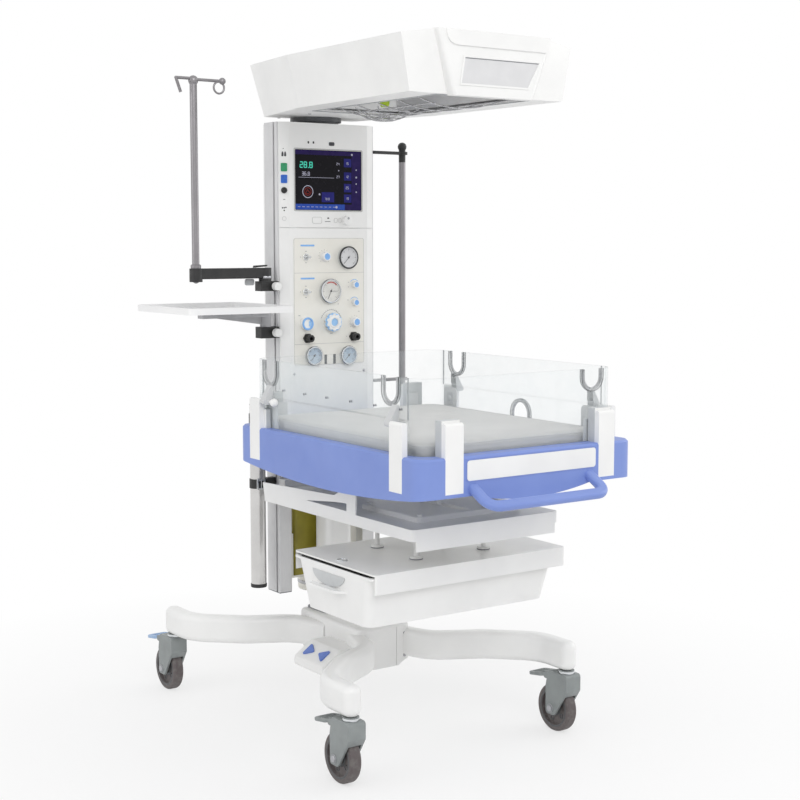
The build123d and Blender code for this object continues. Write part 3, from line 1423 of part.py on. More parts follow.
def nodes():
    """All pieces by node name."""
    hub = base_hub()
    legs = base_legs(hub)
    made = {
        "base_hub": [hub],
        "base_legs": legs,
        "lift_column": [lift_column()],
        "foot_control": [foot_control() - legs[1]],
        "foot_button_up": [foot_button(button_y[0], button_turn[0])],
        "foot_button_down": [foot_button(button_y[1], button_turn[1])],
        "lift_stage": [lift_stage()],
        "carrier_frame": [carrier_frame()],
        "drawer_housing": [drawer_housing()],
        "drawer_bin": [drawer_bin()],
        "mast_columns": mast_columns(),
        "monitor_housing": [monitor_housing()],
        "display_panel": [display_panel()],
        "gas_module": [gas_module()],
        "panel_fittings": panel_fittings(),
        "rear_cover": [rear_cover()],
        "side_tube": side_tube(),
        "rear_box": rear_box(),
        "accessory_pole": [accessory_pole()],
        "rail_clamps": rail_clamps(),
        "iv_pole": [iv_pole()],
        "shelf_tray": [shelf_tray()],
        "menu_dial": [round_knob(dial_at, dial_r, dial_len, 0, 0)],
        "deck_skirt": [deck_skirt()],
        "deck_tray": [deck_tray()],
        "tilt_sector": [tilt_sector()],
        "mattress": [mattress()],
        "wall_posts": wall_posts(),
        "front_wall": [front_wall()],
        "fixed_walls": [fixed_walls()],
        "flap_left": [wall_flap(-1, left_notch_ys)],
        "flap_right": [wall_flap(1, right_notch_ys)],
        "wall_latch": [wall_latch()],
        "hood_shell": [hood_shell()],
        "hood_swivel": [hood_swivel()],
        "heater_reflector": [heater_reflector()],
        "heater_element": heater_element(),
        "heater_guard": [heater_guard()],
    }
    for k, at in enumerate(knob_at):
        made[f"gas_knob_{k + 1}"] = [round_knob(at, knob_r[k], knob_len[k], panel_t, knob_flutes[k])]
    for k, at in enumerate(toggle_at):
        made[f"toggle_{k + 1}"] = [toggle(at)]
    wheel, fork, brake = caster_wheel(), caster_fork(), caster_brake()
    for name, (x, y) in zip(("front_left", "front_right", "rear_left", "rear_right"), caster_places()):
        made[f"caster_wheel_{name}"] = [Pos(x, y, 0) * wheel]
        made[f"caster_fork_{name}"] = [Pos(x, y, 0) * fork]
        made[f"caster_brake_{name}"] = [Pos(x, y, 0) * brake]
    return made


def main():
    """Build, move to the origin and export every node."""
    os.makedirs("parts", exist_ok=True)
    for name, pieces in nodes().items():
        solids = [s for piece in pieces for s in piece.solids()]
        shape = solids[0] if len(solids) == 1 else Compound(children=solids)
        export_step(Pos(-origin_x, -origin_y, 0) * shape, f"parts/{name}.step")


if __name__ == "__main__":
    main()
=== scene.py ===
import functools
import logging
import math
from dataclasses import dataclass, field
from enum import Enum
from typing import Iterable, Sequence

import bmesh
import bpy
from mathutils import Matrix, Vector, noise


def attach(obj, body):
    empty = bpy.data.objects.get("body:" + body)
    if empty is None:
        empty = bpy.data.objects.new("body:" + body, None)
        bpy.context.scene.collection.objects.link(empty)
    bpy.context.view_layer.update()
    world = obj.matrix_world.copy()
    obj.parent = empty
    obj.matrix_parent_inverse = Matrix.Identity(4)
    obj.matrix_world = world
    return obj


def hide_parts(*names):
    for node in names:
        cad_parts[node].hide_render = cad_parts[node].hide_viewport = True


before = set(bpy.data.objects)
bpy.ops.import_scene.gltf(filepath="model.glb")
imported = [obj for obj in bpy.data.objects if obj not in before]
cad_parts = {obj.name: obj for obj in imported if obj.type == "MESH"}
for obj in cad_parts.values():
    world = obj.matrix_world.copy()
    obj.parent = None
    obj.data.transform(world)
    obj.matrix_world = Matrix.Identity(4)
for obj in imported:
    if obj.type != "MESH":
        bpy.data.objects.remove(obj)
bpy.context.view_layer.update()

# Infant radiant warmer: the finishes of its solids, and what is added to them on mattress, tower, walls, hood,
# base and side gear, with the studio round it all.
# Every place is given in millimetres from the bed's centre line, with the floor at z 0, and turned into
# the row frame's metres by at().

MM = 0.001
ROW_X = 60.75
ROW_Y = -199.75

FORWARD = (0, -1, 0)
BEHIND = (0, 1, 0)
ABOVE = (0, 0, 1)
BELOW = (0, 0, -1)
SIDES = (-1, 1)

Point = tuple[float, float, float]
Flat = tuple[float, float]
Colour = tuple[float, float, float]

log = logging.getLogger("warmer")


def at(x: float, y: float, z: float) -> Vector:
    """Turn a bed-centred place in millimetres into the row frame's metres."""
    return Vector(((x + ROW_X) * MM, (y + ROW_Y) * MM, z * MM))


def linear(colour: Colour) -> tuple[float, float, float, float]:
    """Turn a colour as seen on a screen into a linear one with an alpha of 1."""
    parts = [c / 12.92 if c <= 0.04045 else ((c + 0.055) / 1.055) ** 2.4 for c in colour]
    return (*parts, 1.0)


# Finishes

class Tree:
    """A node tree, built up step by step."""

    def __init__(self, tree: bpy.types.NodeTree) -> None:
        """Empty the tree."""
        self.tree = tree
        tree.nodes.clear()

    def link(self, source: bpy.types.NodeSocket, target: bpy.types.NodeSocket) -> None:
        """Join two sockets."""
        self.tree.links.new(source, target)

    def feed(self, node: bpy.types.Node, values: dict) -> None:
        """Set or join a node's inputs.

        Args:
            node: the node.
            values: sockets or plain values by input name or number.
        """
        for key, value in values.items():
            if isinstance(value, bpy.types.NodeSocket):
                self.link(value, node.inputs[key])
            else:
                node.inputs[key].default_value = value

    def add(self, kind: str, values: dict | None = None) -> bpy.types.Node:
        """Add a node.

        Args:
            kind: its type's name after ShaderNode.
            values: sockets or plain values by input name or number.

        Returns:
            The node.
        """
        node = self.tree.nodes.new(f"ShaderNode{kind}")
        self.feed(node, values or {})
        return node

    def maths(self, kind: str, first, second=0.0, third=0.0) -> bpy.types.NodeSocket:
        """Add a Math node.

        Args:
            kind: its operation.
            first: a socket or number.
            second: a socket or number.
            third: a socket or number.

        Returns:
            The result's socket.
        """
        node = self.add("Math")
        node.operation = kind
        self.feed(node, {0: first, 1: second, 2: third})
        return node.outputs[0]

    def band(self, value: bpy.types.NodeSocket, low: float, high: float,
             to_low: float, to_high: float) -> bpy.types.NodeSocket:
        """Map one range of a value onto another, without going past its ends."""
        return self.add("MapRange", {"Value": value, "From Min": low, "From Max": high, "To Min": to_low,
                                     "To Max": to_high}).outputs[0]

    def fold(self, kind: str, values: Iterable[bpy.types.NodeSocket]) -> bpy.types.NodeSocket:
        """Combine values with one Math operation, one after the other."""
        return functools.reduce(lambda first, second: self.maths(kind, first, second), values)

    def seen(self) -> bpy.types.NodeSocket:
        """Mark camera, glossy and transmission rays, which show the background, with 1."""
        rays = self.add("LightPath").outputs
        return self.fold("MAXIMUM", [rays[f"Is {kind} Ray"] for kind in ("Camera", "Glossy", "Transmission")])


class Graph(Tree):
    """A material's node tree with one Principled shader."""

    def __init__(self, name: str) -> None:
        """Start a material.

        Args:
            name: the material's name.
        """
        self.material = bpy.data.materials.new(name)
        self.material.use_nodes = True
        super().__init__(self.material.node_tree)
        self.out = self.add("OutputMaterial")
        self.skin = self.add("BsdfPrincipled")
        self.link(self.skin.outputs["BSDF"], self.out.inputs["Surface"])
        self.coords = self.add("TexCoord").outputs
        self.place = self.coords["Object"]

    def cloud(self, size: float, detail: float = 2.0, place=None) -> bpy.types.NodeSocket:
        """Add soft noise with patches of a size in millimetres."""
        return self.add("TexNoise", {"Vector": place or self.place, "Scale": 1 / (size * MM), "Detail": detail,
                                     "Roughness": 0.55}).outputs["Fac"]

    def mix(self, share: bpy.types.NodeSocket, first, second) -> bpy.types.NodeSocket:
        """Mix two colours.

        Args:
            share: how much of the second one.
            first: a colour or socket.
            second: a colour or socket.

        Returns:
            The mixed colour's socket.
        """
        node = self.add("Mix")
        node.data_type = "RGBA"
        inputs = [k for k, socket in enumerate(node.inputs) if socket.type == "RGBA"]
        self.feed(node, {0: share, inputs[0]: first, inputs[1]: second})
        return [socket for socket in node.outputs if socket.type == "RGBA"][0]

    def relief(self, height: bpy.types.NodeSocket, deep: float) -> None:
        """Bump the surface by a height from 0 to 1, which stands for a depth in millimetres."""
        node = self.add("Bump", {"Height": height, "Distance": deep * MM, "Strength": 1.0})
        self.link(node.outputs[0], self.skin.inputs["Normal"])

    def axes(self, vector: bpy.types.NodeSocket) -> tuple:
        """Split a vector into the sockets of X, Y and Z."""
        return tuple(self.add("SeparateXYZ", {0: vector}).outputs)

    def from_middle(self) -> list[bpy.types.NodeSocket]:
        """Measure in metres how far a place is from the bed's middle, across and along the bed."""
        return [self.maths("ABSOLUTE", self.maths("SUBTRACT", value, start))
                for value, start in zip(self.axes(self.place)[:2], at(0, 0, 0))]

    def inside(self, low: Point, high: Point) -> bpy.types.NodeSocket:
        """Mark the space between two corners.

        Args:
            low: lowest corner in bed-centred millimetres.
            high: highest corner.

        Returns:
            A socket that is 1 inside and 0 outside.
        """
        sides = []
        for value, start, end in zip(self.axes(self.place), at(*low), at(*high)):
            sides += [self.maths("GREATER_THAN", value, start), self.maths("LESS_THAN", value, end)]
        return self.fold("MULTIPLY", sides)


@dataclass(frozen=True)
class Moulded:
    """Paint or moulded plastic with cloudy tone, uneven gloss and a fine surface grain."""

    name: str
    slot: str
    colour: Colour
    shade: Colour
    patch: float = 130.0
    gloss: Flat = (0.34, 0.5)
    grain: float = 1.4
    deep: float = 0.02
    metal: float = 0.0
    coat: float = 0.0
    glow: float = 0.0
    shine: float = 0.5

    def tone(self, graph: Graph) -> tuple:
        """Work out colour and roughness.

        Args:
            graph: the tree that they go into.

        Returns:
            The sockets of colour and roughness.
        """
        broad = graph.band(graph.cloud(self.patch, 3.0), 0.35, 0.68, 0.0, 1.0)
        colour = graph.mix(broad, linear(self.colour), linear(self.shade))
        rough = graph.band(graph.cloud(self.patch * 0.22, 4.0), 0.3, 0.7, self.gloss[0], self.gloss[1])
        return colour, rough

    def dress(self, graph: Graph) -> None:
        """Set the shader.

        Args:
            graph: the tree.
        """
        colour, rough = self.tone(graph)
        graph.feed(graph.skin, {"Base Color": colour, "Roughness": rough, "Metallic": self.metal,
                                "Coat Weight": self.coat, "Coat Roughness": 0.12,
                                "Specular IOR Level": self.shine})
        if self.glow:
            graph.feed(graph.skin, {"Emission Color": colour, "Emission Strength": self.glow})
        graph.relief(graph.cloud(self.grain, 2.0), self.deep)


@dataclass(frozen=True)
class Parted:
    """One node in two finishes, parted by boxes in space."""

    name: str
    slot: str
    inner: Moulded
    outer: Moulded
    boxes: tuple[tuple[Point, Point], ...]
    deep: float = 0.02

    def dress(self, graph: Graph) -> None:
        """Set the shader.

        Args:
            graph: the tree.
        """
        share = graph.fold("MAXIMUM", [graph.inside(*corners) for corners in self.boxes])
        colour_in, rough_in = self.inner.tone(graph)
        colour_out, rough_out = self.outer.tone(graph)
        span = graph.maths("SUBTRACT", rough_in, rough_out)
        metal_span = self.inner.metal - self.outer.metal
        graph.feed(graph.skin, {"Base Color": graph.mix(share, colour_out, colour_in),
                                "Roughness": graph.maths("MULTIPLY_ADD", span, share, rough_out),
                                "Metallic": graph.maths("MULTIPLY_ADD", share, metal_span, self.outer.metal)})
        graph.relief(graph.cloud(self.outer.grain, 2.0), self.deep)


@dataclass(frozen=True)
class Drawn:
    """Bare metal with lines drawn along one axis and a little handling dullness."""

    name: str
    slot: str
    colour: Colour
    shade: Colour
    along: Point = (1.0, 1.0, 0.02)
    gloss: Flat = (0.22, 0.36)
    line: float = 0.6
    deep: float = 0.012
    metal: float = 1.0

    def dress(self, graph: Graph) -> None:
        """Set the shader.

        Args:
            graph: the tree.
        """
        stretched = graph.add("Mapping", {"Vector": graph.place, "Scale": self.along}).outputs[0]
        lines = graph.cloud(self.line, 3.0, stretched)
        broad = graph.cloud(60.0, 2.0)
        tone = graph.maths("MULTIPLY_ADD", lines, 0.6, graph.maths("MULTIPLY", broad, 0.4))
        spread = graph.band(tone, 0.35, 0.65, 0.0, 1.0)
        graph.feed(graph.skin, {"Base Color": graph.mix(spread, linear(self.colour), linear(self.shade)),
                                "Roughness": graph.band(tone, 0.3, 0.7, self.gloss[0], self.gloss[1]),
                                "Metallic": self.metal})
        graph.relief(lines, self.deep)


# The acrylic sheets' places in metres from the bed's middle
END_WALL_FROM = 0.36
END_WALL_TO = 0.24
SIDE_WALL_FROM = 0.28
SIDE_WALL_TO = 0.323
HINGE_ARM_FROM = 0.2912


@dataclass(frozen=True)
class Acrylic:
    """Clear acrylic sheet: faint face-on, grey on its sawn edges, and stronger and greyer at a glancing angle,
    which is a painted reflection.
    """

    name: str
    slot: str
    colour: Colour
    face: float = 0.06
    glance_painted_reflection: float = 0.55
    edge: float = 0.85
    flat: bool = True
    sawn_edge_and_painted_reflection_colour: Colour = (0.62, 0.63, 0.64)
    arms: bool = False
    arm_colour: Colour = (0.8, 0.805, 0.81)

    def dress(self, graph: Graph) -> None:
        """Set the shader.

        Args:
            graph: the tree.
        """
        facing = graph.add("LayerWeight", {"Blend": 0.25}).outputs["Facing"]
        # painted reflection: the sheet grows more opaque towards a glancing angle
        alpha = graph.band(facing, 0.1, 1.0, self.face, self.glance_painted_reflection)
        smear = graph.band(graph.cloud(70.0, 4.0), 0.42, 0.7, 0.0, 0.03)
        alpha = graph.maths("ADD", alpha, smear)
        tone = graph.mix(graph.cloud(40.0), linear(self.colour), linear((0.97, 0.98, 0.98)))
        # painted reflection: at a glancing angle the sheet turns towards the grey of its sawn edges
        grey = linear(self.sawn_edge_and_painted_reflection_colour)
        tone = graph.mix(graph.band(facing, 0.45, 0.95, 0.0, 0.7), tone, grey)
        if self.flat:
            sawn = self.sawn(graph)
            alpha = graph.maths("MAXIMUM", alpha, graph.maths("MULTIPLY", sawn, self.edge))
            tone = graph.mix(sawn, tone, grey)
        if self.arms:
            arm = graph.maths("GREATER_THAN", graph.from_middle()[0], HINGE_ARM_FROM)
            alpha = graph.maths("MAXIMUM", alpha, arm)
            tone = graph.mix(arm, tone, linear(self.arm_colour))
        graph.feed(graph.skin, {"Base Color": tone,
                                "Roughness": graph.band(graph.cloud(25.0, 3.0), 0.3, 0.7, 0.03, 0.12),
                                "Alpha": alpha, "IOR": 1.49})
        graph.relief(graph.cloud(90.0), 0.15)

    def sawn(self, graph: Graph) -> bpy.types.NodeSocket:
        """Mark the sheet's sawn edges.

        Args:
            graph: the tree.

        Returns:
            A socket that is 1 on an edge.
        """
        across, deep, up = (graph.maths("ABSOLUTE", part) for part in graph.axes(graph.coords["Normal"]))
        beside, along = graph.from_middle()
        edges = [graph.maths("GREATER_THAN", up, 0.6)]
        for out, begin, on, end, normal in ((beside, SIDE_WALL_FROM, along, SIDE_WALL_TO, across),
                                            (along, END_WALL_FROM, beside, END_WALL_TO, deep)):
            edges.append(graph.fold("MULTIPLY", [graph.maths("GREATER_THAN", out, begin),
                                                 graph.maths("LESS_THAN", on, end),
                                                 graph.maths("LESS_THAN", normal, 0.5)]))
        return graph.fold("MAXIMUM", edges)


@dataclass(frozen=True)
class Covering:
    """Wipe-clean woven cover: fine crossing threads under a soft coating, with slow creases."""

    name: str
    slot: str
    colour: Colour
    shade: Colour
    thread: float = 0.9

    def dress(self, graph: Graph) -> None:
        """Set the shader.

        Args:
            graph: the tree.
        """
        threads = []
        for way in ("X", "Y"):
            wave = graph.add("TexWave", {"Vector": graph.place, "Scale": 0.314 / (self.thread * MM),
                                         "Distortion": 0.6, "Detail": 1.0})
            wave.bands_direction = way
            threads.append(wave.outputs["Fac"])
        weave = graph.fold("MULTIPLY", threads)
        crease = graph.cloud(55.0, 3.0)
        broad = graph.band(graph.cloud(160.0, 3.0), 0.35, 0.65, 0.0, 1.0)
        colour = graph.mix(broad, linear(self.colour), linear(self.shade))
        dark = tuple(part * 0.88 for part in self.shade)
        colour = graph.mix(graph.maths("MULTIPLY", weave, 0.35), colour, linear(dark))
        graph.feed(graph.skin, {"Base Color": colour, "Roughness": graph.band(crease, 0.3, 0.7, 0.5, 0.66),
                                "Sheen Weight": 0.25})
        height = graph.maths("MULTIPLY_ADD", weave, 0.12, crease)
        graph.relief(height, 1.1)


@dataclass(frozen=True)
class Rubber:
    """Tyre rubber with dusty patches and a faint grain."""

    name: str
    slot: str
    colour: Colour
    dust: Colour

    def dress(self, graph: Graph) -> None:
        """Set the shader.

        Args:
            graph: the tree.
        """
        low = graph.band(graph.axes(graph.place)[2], 0.0, 0.05, 0.55, 0.0)
        patches = graph.band(graph.cloud(12.0, 4.0), 0.45, 0.7, 0.0, 0.6)
        share = graph.maths("MAXIMUM", graph.maths("MULTIPLY", low, graph.cloud(5.0)), patches)
        graph.feed(graph.skin, {"Base Color": graph.mix(share, linear(self.colour), linear(self.dust)),
                                "Roughness": graph.band(share, 0.0, 0.6, 0.5, 0.8)})
        graph.relief(graph.cloud(0.8, 3.0), 0.05)


Finish = Moulded | Parted | Drawn | Acrylic | Covering | Rubber

WHITE_PAINT = Moulded("white_powder_coat", "white_paint", (0.955, 0.955, 0.95), (0.935, 0.935, 0.932),
                      gloss=(0.3, 0.42), grain=1.8, deep=0.025, coat=0.15)
WHITE_MOULD = Moulded("white_moulding", "white_plastic", (0.962, 0.962, 0.957), (0.94, 0.94, 0.936),
                      gloss=(0.32, 0.46), grain=0.9, deep=0.015)
SHELF_WHITE = Moulded("tray_white", "white_plastic", (0.965, 0.965, 0.965), (0.945, 0.945, 0.947),
                      gloss=(0.28, 0.4), grain=1.2)
BLUE_MOULD = Moulded("skirt_blue", "blue_plastic", (0.5, 0.585, 0.84), (0.475, 0.56, 0.82), patch=180.0,
                     gloss=(0.36, 0.5), grain=1.0)
CREAM = Moulded("panel_cream", "cream_panel", (0.945, 0.938, 0.91), (0.925, 0.917, 0.885), patch=80.0,
                gloss=(0.42, 0.55), grain=0.8)
FASCIA_GREY = Moulded("fascia_grey", "grey_plastic", (0.87, 0.87, 0.875), (0.845, 0.845, 0.85), patch=60.0)
CLIP_PALE = Moulded("clip_pale", "grey_plastic", (0.8, 0.81, 0.815), (0.76, 0.77, 0.775), patch=50.0)
GREY_LIGHT = Moulded("grey_light", "grey_plastic", (0.72, 0.73, 0.74), (0.68, 0.69, 0.7), patch=60.0)
CASTER_GREY = Moulded("caster_grey", "grey_plastic", (0.57, 0.59, 0.59), (0.52, 0.54, 0.54), patch=60.0)
GREY_MID = Moulded("grey_mid", "grey_plastic", (0.52, 0.53, 0.55), (0.47, 0.48, 0.5), patch=40.0)
GREY_DARK = Moulded("grey_dark", "grey_plastic", (0.33, 0.34, 0.35), (0.28, 0.29, 0.3), patch=35.0)
GREY_PAINT = Moulded("bracket_grey", "grey_paint", (0.72, 0.72, 0.73), (0.66, 0.66, 0.67), patch=70.0,
                     grain=1.6)
BLACK = Moulded("black_moulding", "black_plastic", (0.13, 0.13, 0.135), (0.17, 0.17, 0.17), patch=30.0,
                gloss=(0.38, 0.56), grain=0.7)
LIGHT_BLUE = Moulded("light_blue", "light_blue", (0.64, 0.81, 0.97), (0.57, 0.76, 0.95), patch=20.0)
PEDAL_BLUE = Moulded("pedal_blue", "light_blue", (0.66, 0.76, 0.88), (0.6, 0.71, 0.85), patch=40.0)
BUTTON_BLUE = Moulded("button_blue", "blue_plastic", (0.42, 0.53, 0.82), (0.37, 0.48, 0.78), patch=15.0)
OLIVE = Moulded("box_olive", "olive_box", (0.62, 0.58, 0.2), (0.54, 0.5, 0.16), patch=60.0)
CERAMIC = Moulded("ceramic_end", "ceramic", (0.9, 0.88, 0.82), (0.84, 0.82, 0.76), patch=14.0)
CHROME = Moulded("polished_chrome", "chrome", (0.86, 0.87, 0.88), (0.8, 0.81, 0.82), patch=50.0,
                 gloss=(0.06, 0.16), metal=1.0, deep=0.004)
SATIN = Moulded("satin_steel", "chrome", (0.58, 0.57, 0.58), (0.54, 0.53, 0.54), patch=90.0,
                gloss=(0.3, 0.38), metal=0.75, deep=0.006)
TUBE_STEEL = Moulded("tube_steel", "chrome", (0.83, 0.825, 0.82), (0.78, 0.775, 0.77), patch=90.0,
                     gloss=(0.16, 0.26), metal=0.9, deep=0.004)
STEEL_ROD = Moulded("rod_dull_steel", "steel", (0.6, 0.59, 0.58), (0.5, 0.49, 0.48), patch=16.0,
                    gloss=(0.3, 0.45), metal=0.8)
WIRE = Moulded("wire_bright", "steel", (0.78, 0.78, 0.79), (0.7, 0.7, 0.71), patch=20.0,
               gloss=(0.2, 0.3), metal=0.9)
STEEL = Drawn("ground_steel", "steel", (0.74, 0.74, 0.75), (0.66, 0.66, 0.68), metal=0.8)
ALUMINIUM = Drawn("column_aluminium", "aluminium", (0.87, 0.87, 0.873), (0.82, 0.82, 0.825),
                  gloss=(0.38, 0.5), metal=0.15)
REFLECTOR = Drawn("reflector_bright", "steel", (0.88, 0.88, 0.88), (0.8, 0.8, 0.8), along=(1.0, 0.03, 1.0),
                  gloss=(0.34, 0.44), metal=0.45)
CLEAR_WALL = Acrylic("clear_acrylic", "clear", (0.9, 0.95, 0.96))
CLEAR_FLAP = Acrylic("clear_flap", "clear", CLEAR_WALL.colour, arms=True)
LENS = Acrylic("gauge_lens", "clear", (0.93, 0.96, 0.97), face=0.05, glance_painted_reflection=0.4, flat=False)
SMOKE = Acrylic("smoke_rubber", "clear", (0.5, 0.51, 0.53), face=0.32, glance_painted_reflection=0.8, flat=False)
COVER = Covering("mattress_cover", "mattress_cover", (0.83, 0.828, 0.82), (0.79, 0.787, 0.78))
TYRE = Rubber("tyre_rubber", "tyre_grey", (0.36, 0.33, 0.33), (0.5, 0.49, 0.48))
INK = Moulded("ink_dark", "black_plastic", (0.2, 0.2, 0.22), (0.26, 0.26, 0.28), patch=9.0)
INK_FAINT = Moulded("ink_faint", "grey_plastic", (0.76, 0.76, 0.755), (0.72, 0.72, 0.715), patch=9.0)
INK_BLUE = Moulded("ink_blue", "light_blue", (0.55, 0.74, 0.95), (0.48, 0.69, 0.93), patch=9.0)
INK_RED = Moulded("ink_red", "grey_plastic", (0.75, 0.25, 0.22), (0.68, 0.2, 0.2), patch=9.0)
PRINT_WHITE = Moulded("gauge_face", "white_plastic", (0.9, 0.895, 0.875), (0.865, 0.86, 0.84), patch=18.0)
PRINT_BLUE = Moulded("gauge_face_blue", "light_blue", (0.76, 0.82, 0.87), (0.69, 0.76, 0.83), patch=12.0)
GREEN = Moulded("socket_green", "light_blue", (0.16, 0.62, 0.42), (0.12, 0.55, 0.36), patch=9.0)
BLUE = Moulded("socket_blue", "blue_plastic", (0.15, 0.42, 0.8), (0.12, 0.36, 0.74), patch=9.0)
# the lamp's yellow-green socket carries a faint painted glow, though it is not the part that gives light
LAMP_GREEN_PAINTED_GLOW = Moulded("lamp_yellow_green_painted_glow", "light_blue", (0.72, 0.82, 0.2), (0.6, 0.74, 0.12), patch=8.0,
                     glow=0.15)
GLASS_DARK = Moulded("screen_glass", "screen", (0.06, 0.055, 0.075), (0.08, 0.07, 0.1), patch=70.0,
                     gloss=(0.2, 0.3), deep=0.002, shine=0.12)


def lit(name: str, colour: Colour, shade: Colour, patch: float, glow: float) -> Moulded:
    """Make the finish of something lit behind the screen's glass."""
    return Moulded(f"lit_{name}", "screen", colour, shade, patch=patch, glow=glow, shine=0.1)


PIX_TEAL = lit("teal", (0.3, 0.8, 0.7), (0.34, 0.84, 0.74), 6.0, 0.3)
PIX_WHITE = lit("white", (0.7, 0.7, 0.76), (0.64, 0.64, 0.71), 6.0, 0.2)
PIX_BLUE = lit("blue", (0.17, 0.17, 0.46), (0.14, 0.14, 0.41), 10.0, 0.08)
PIX_SKY = lit("sky", (0.2, 0.32, 0.66), (0.16, 0.27, 0.6), 10.0, 0.12)
PIX_VIOLET = lit("violet", (0.17, 0.12, 0.33), (0.13, 0.09, 0.29), 12.0, 0.05)
PIX_RED = lit("red", (0.55, 0.18, 0.16), (0.48, 0.15, 0.15), 6.0, 0.1)

MADE: dict[str, bpy.types.Material] = {}


def material_of(finish: Finish) -> bpy.types.Material:
    """Make a finish's material, or give back the one made before.

    Args:
        finish: the finish.

    Returns:
        Its material.
    """
    if finish.name not in MADE:
        graph = Graph(finish.name)
        finish.dress(graph)
        MADE[finish.name] = graph.material
    return MADE[finish.name]


# Shapes

class Facing(Enum):
    """The plane in which an outline is drawn, and the way it is carried."""

    UP = "outline in X and Y, carried along Z"
    FRONT = "outline in X and Z, carried along Y"
    SIDE = "outline in Y and Z, carried along X"


def spot(facing: Facing, u: float, v: float, level: float) -> Point:
    """Place a point of an outline in space.

    Args:
        facing: the outline's plane.
        u: first coordinate in the plane.
        v: second coordinate in the plane.
        level: coordinate along the way it is carried.

    Returns:
        The point in bed-centred millimetres.
    """
    if facing is Facing.UP:
        return (u, v, level)
    if facing is Facing.FRONT:
        return (u, level, v)
    return (level, u, v)


def ring_points(centre: Flat, radius: float, count: int = 32, start: float = 0.0,
                sweep: float = 360.0) -> list[Flat]:
    """Points round a circle or arc.

    Args:
        centre: its centre.
        radius: its radius.
        count: number of steps.
        start: first angle in degrees.
        sweep: angle covered; an arc gets its last point too.

    Returns:
        The points.
    """
    steps = count if sweep >= 360.0 else count + 1
    angles = [math.radians(start + sweep * k / count) for k in range(steps)]
    return [(centre[0] + radius * math.cos(a), centre[1] + radius * math.sin(a)) for a in angles]


def rounded(centre: Flat, width: float, height: float, radius: float, steps: int = 5) -> list[Flat]:
    """Outline of a rounded rectangle.

    Args:
        centre: its centre.
        width: full width.
        height: full height.
        radius: corner radius.
        steps: steps in each corner.

    Returns:
        The outline.
    """
    points: list[Flat] = []
    for k, (sx, sy) in enumerate(((1, 1), (-1, 1), (-1, -1), (1, -1))):
        corner = (centre[0] + sx * (width / 2 - radius), centre[1] + sy * (height / 2 - radius))
        points += ring_points(corner, radius, steps, 90.0 * k, 90.0)
    return points


def arc_band(centre: Flat, inner: float, outer: float, start: float, sweep: float,
             count: int = 20) -> list[Flat]:
    """Outline of a flat band bent round a centre.

    Args:
        centre: the centre.
        inner: inner radius.
        outer: outer radius.
        start: first angle in degrees.
        sweep: angle covered.
        count: steps along the band.

    Returns:
        The outline.
    """
    out = ring_points(centre, outer, count, start, sweep)
    back = ring_points(centre, inner, count, start, sweep)
    return out + back[::-1]

def bar(start: Flat, end: Flat, width: float) -> list[Flat]:
    """Outline of a straight bar between two points.

    Args:
        start: middle of its first end.
        end: middle of its other end.
        width: its width.

    Returns:
        The outline.
    """
    first, last = Vector(start), Vector(end)
    way = last - first
    side = Vector((-way.y, way.x)).normalized() * width / 2
    return [tuple(first + side), tuple(first - side), tuple(last - side), tuple(last + side)]


def box(left: float, low: float, right: float, high: float) -> list[Flat]:
    """Outline of a rectangle between its edges."""
    return [(left, low), (right, low), (right, high), (left, high)]


def polar(centre: Flat, radius: float, angle: float) -> Flat:
    """Point at a distance from a centre, at an angle in radians."""
    return (centre[0] + radius * math.cos(angle), centre[1] + radius * math.sin(angle))


def screw(radius: float, edge: float, shoulder: float, high: float) -> tuple[Flat, ...]:
    """Profile of a domed screw head: its dome begins at the shoulder, 1.2 mm further in."""
    return ((radius, -0.2), (radius, edge), (radius - 1.2, shoulder), (0.0, high))


def placed(name: str, data: bpy.types.ID) -> bpy.types.Object:
    """Put new data into the scene as an object.

    Args:
        name: the object's name.
        data: its mesh, light or camera.

    Returns:
        The object.
    """
    thing = bpy.data.objects.new(name, data)
    bpy.context.scene.collection.objects.link(thing)
    return thing


def dash(x: float, z: float, wide: float, thick: float) -> list[Flat]:
    """Outline of a level bar round its middle."""
    return bar((x - wide / 2, z), (x + wide / 2, z), thick)


def ticks(centre: Flat, inner: float, outer: float, angles: Iterable[float], width: float) -> list[list[Flat]]:
    """Outlines of the marks of a round scale, at angles in degrees."""
    turns = [math.radians(angle) for angle in angles]
    return [bar(polar(centre, inner, a), polar(centre, outer, a), width) for a in turns]


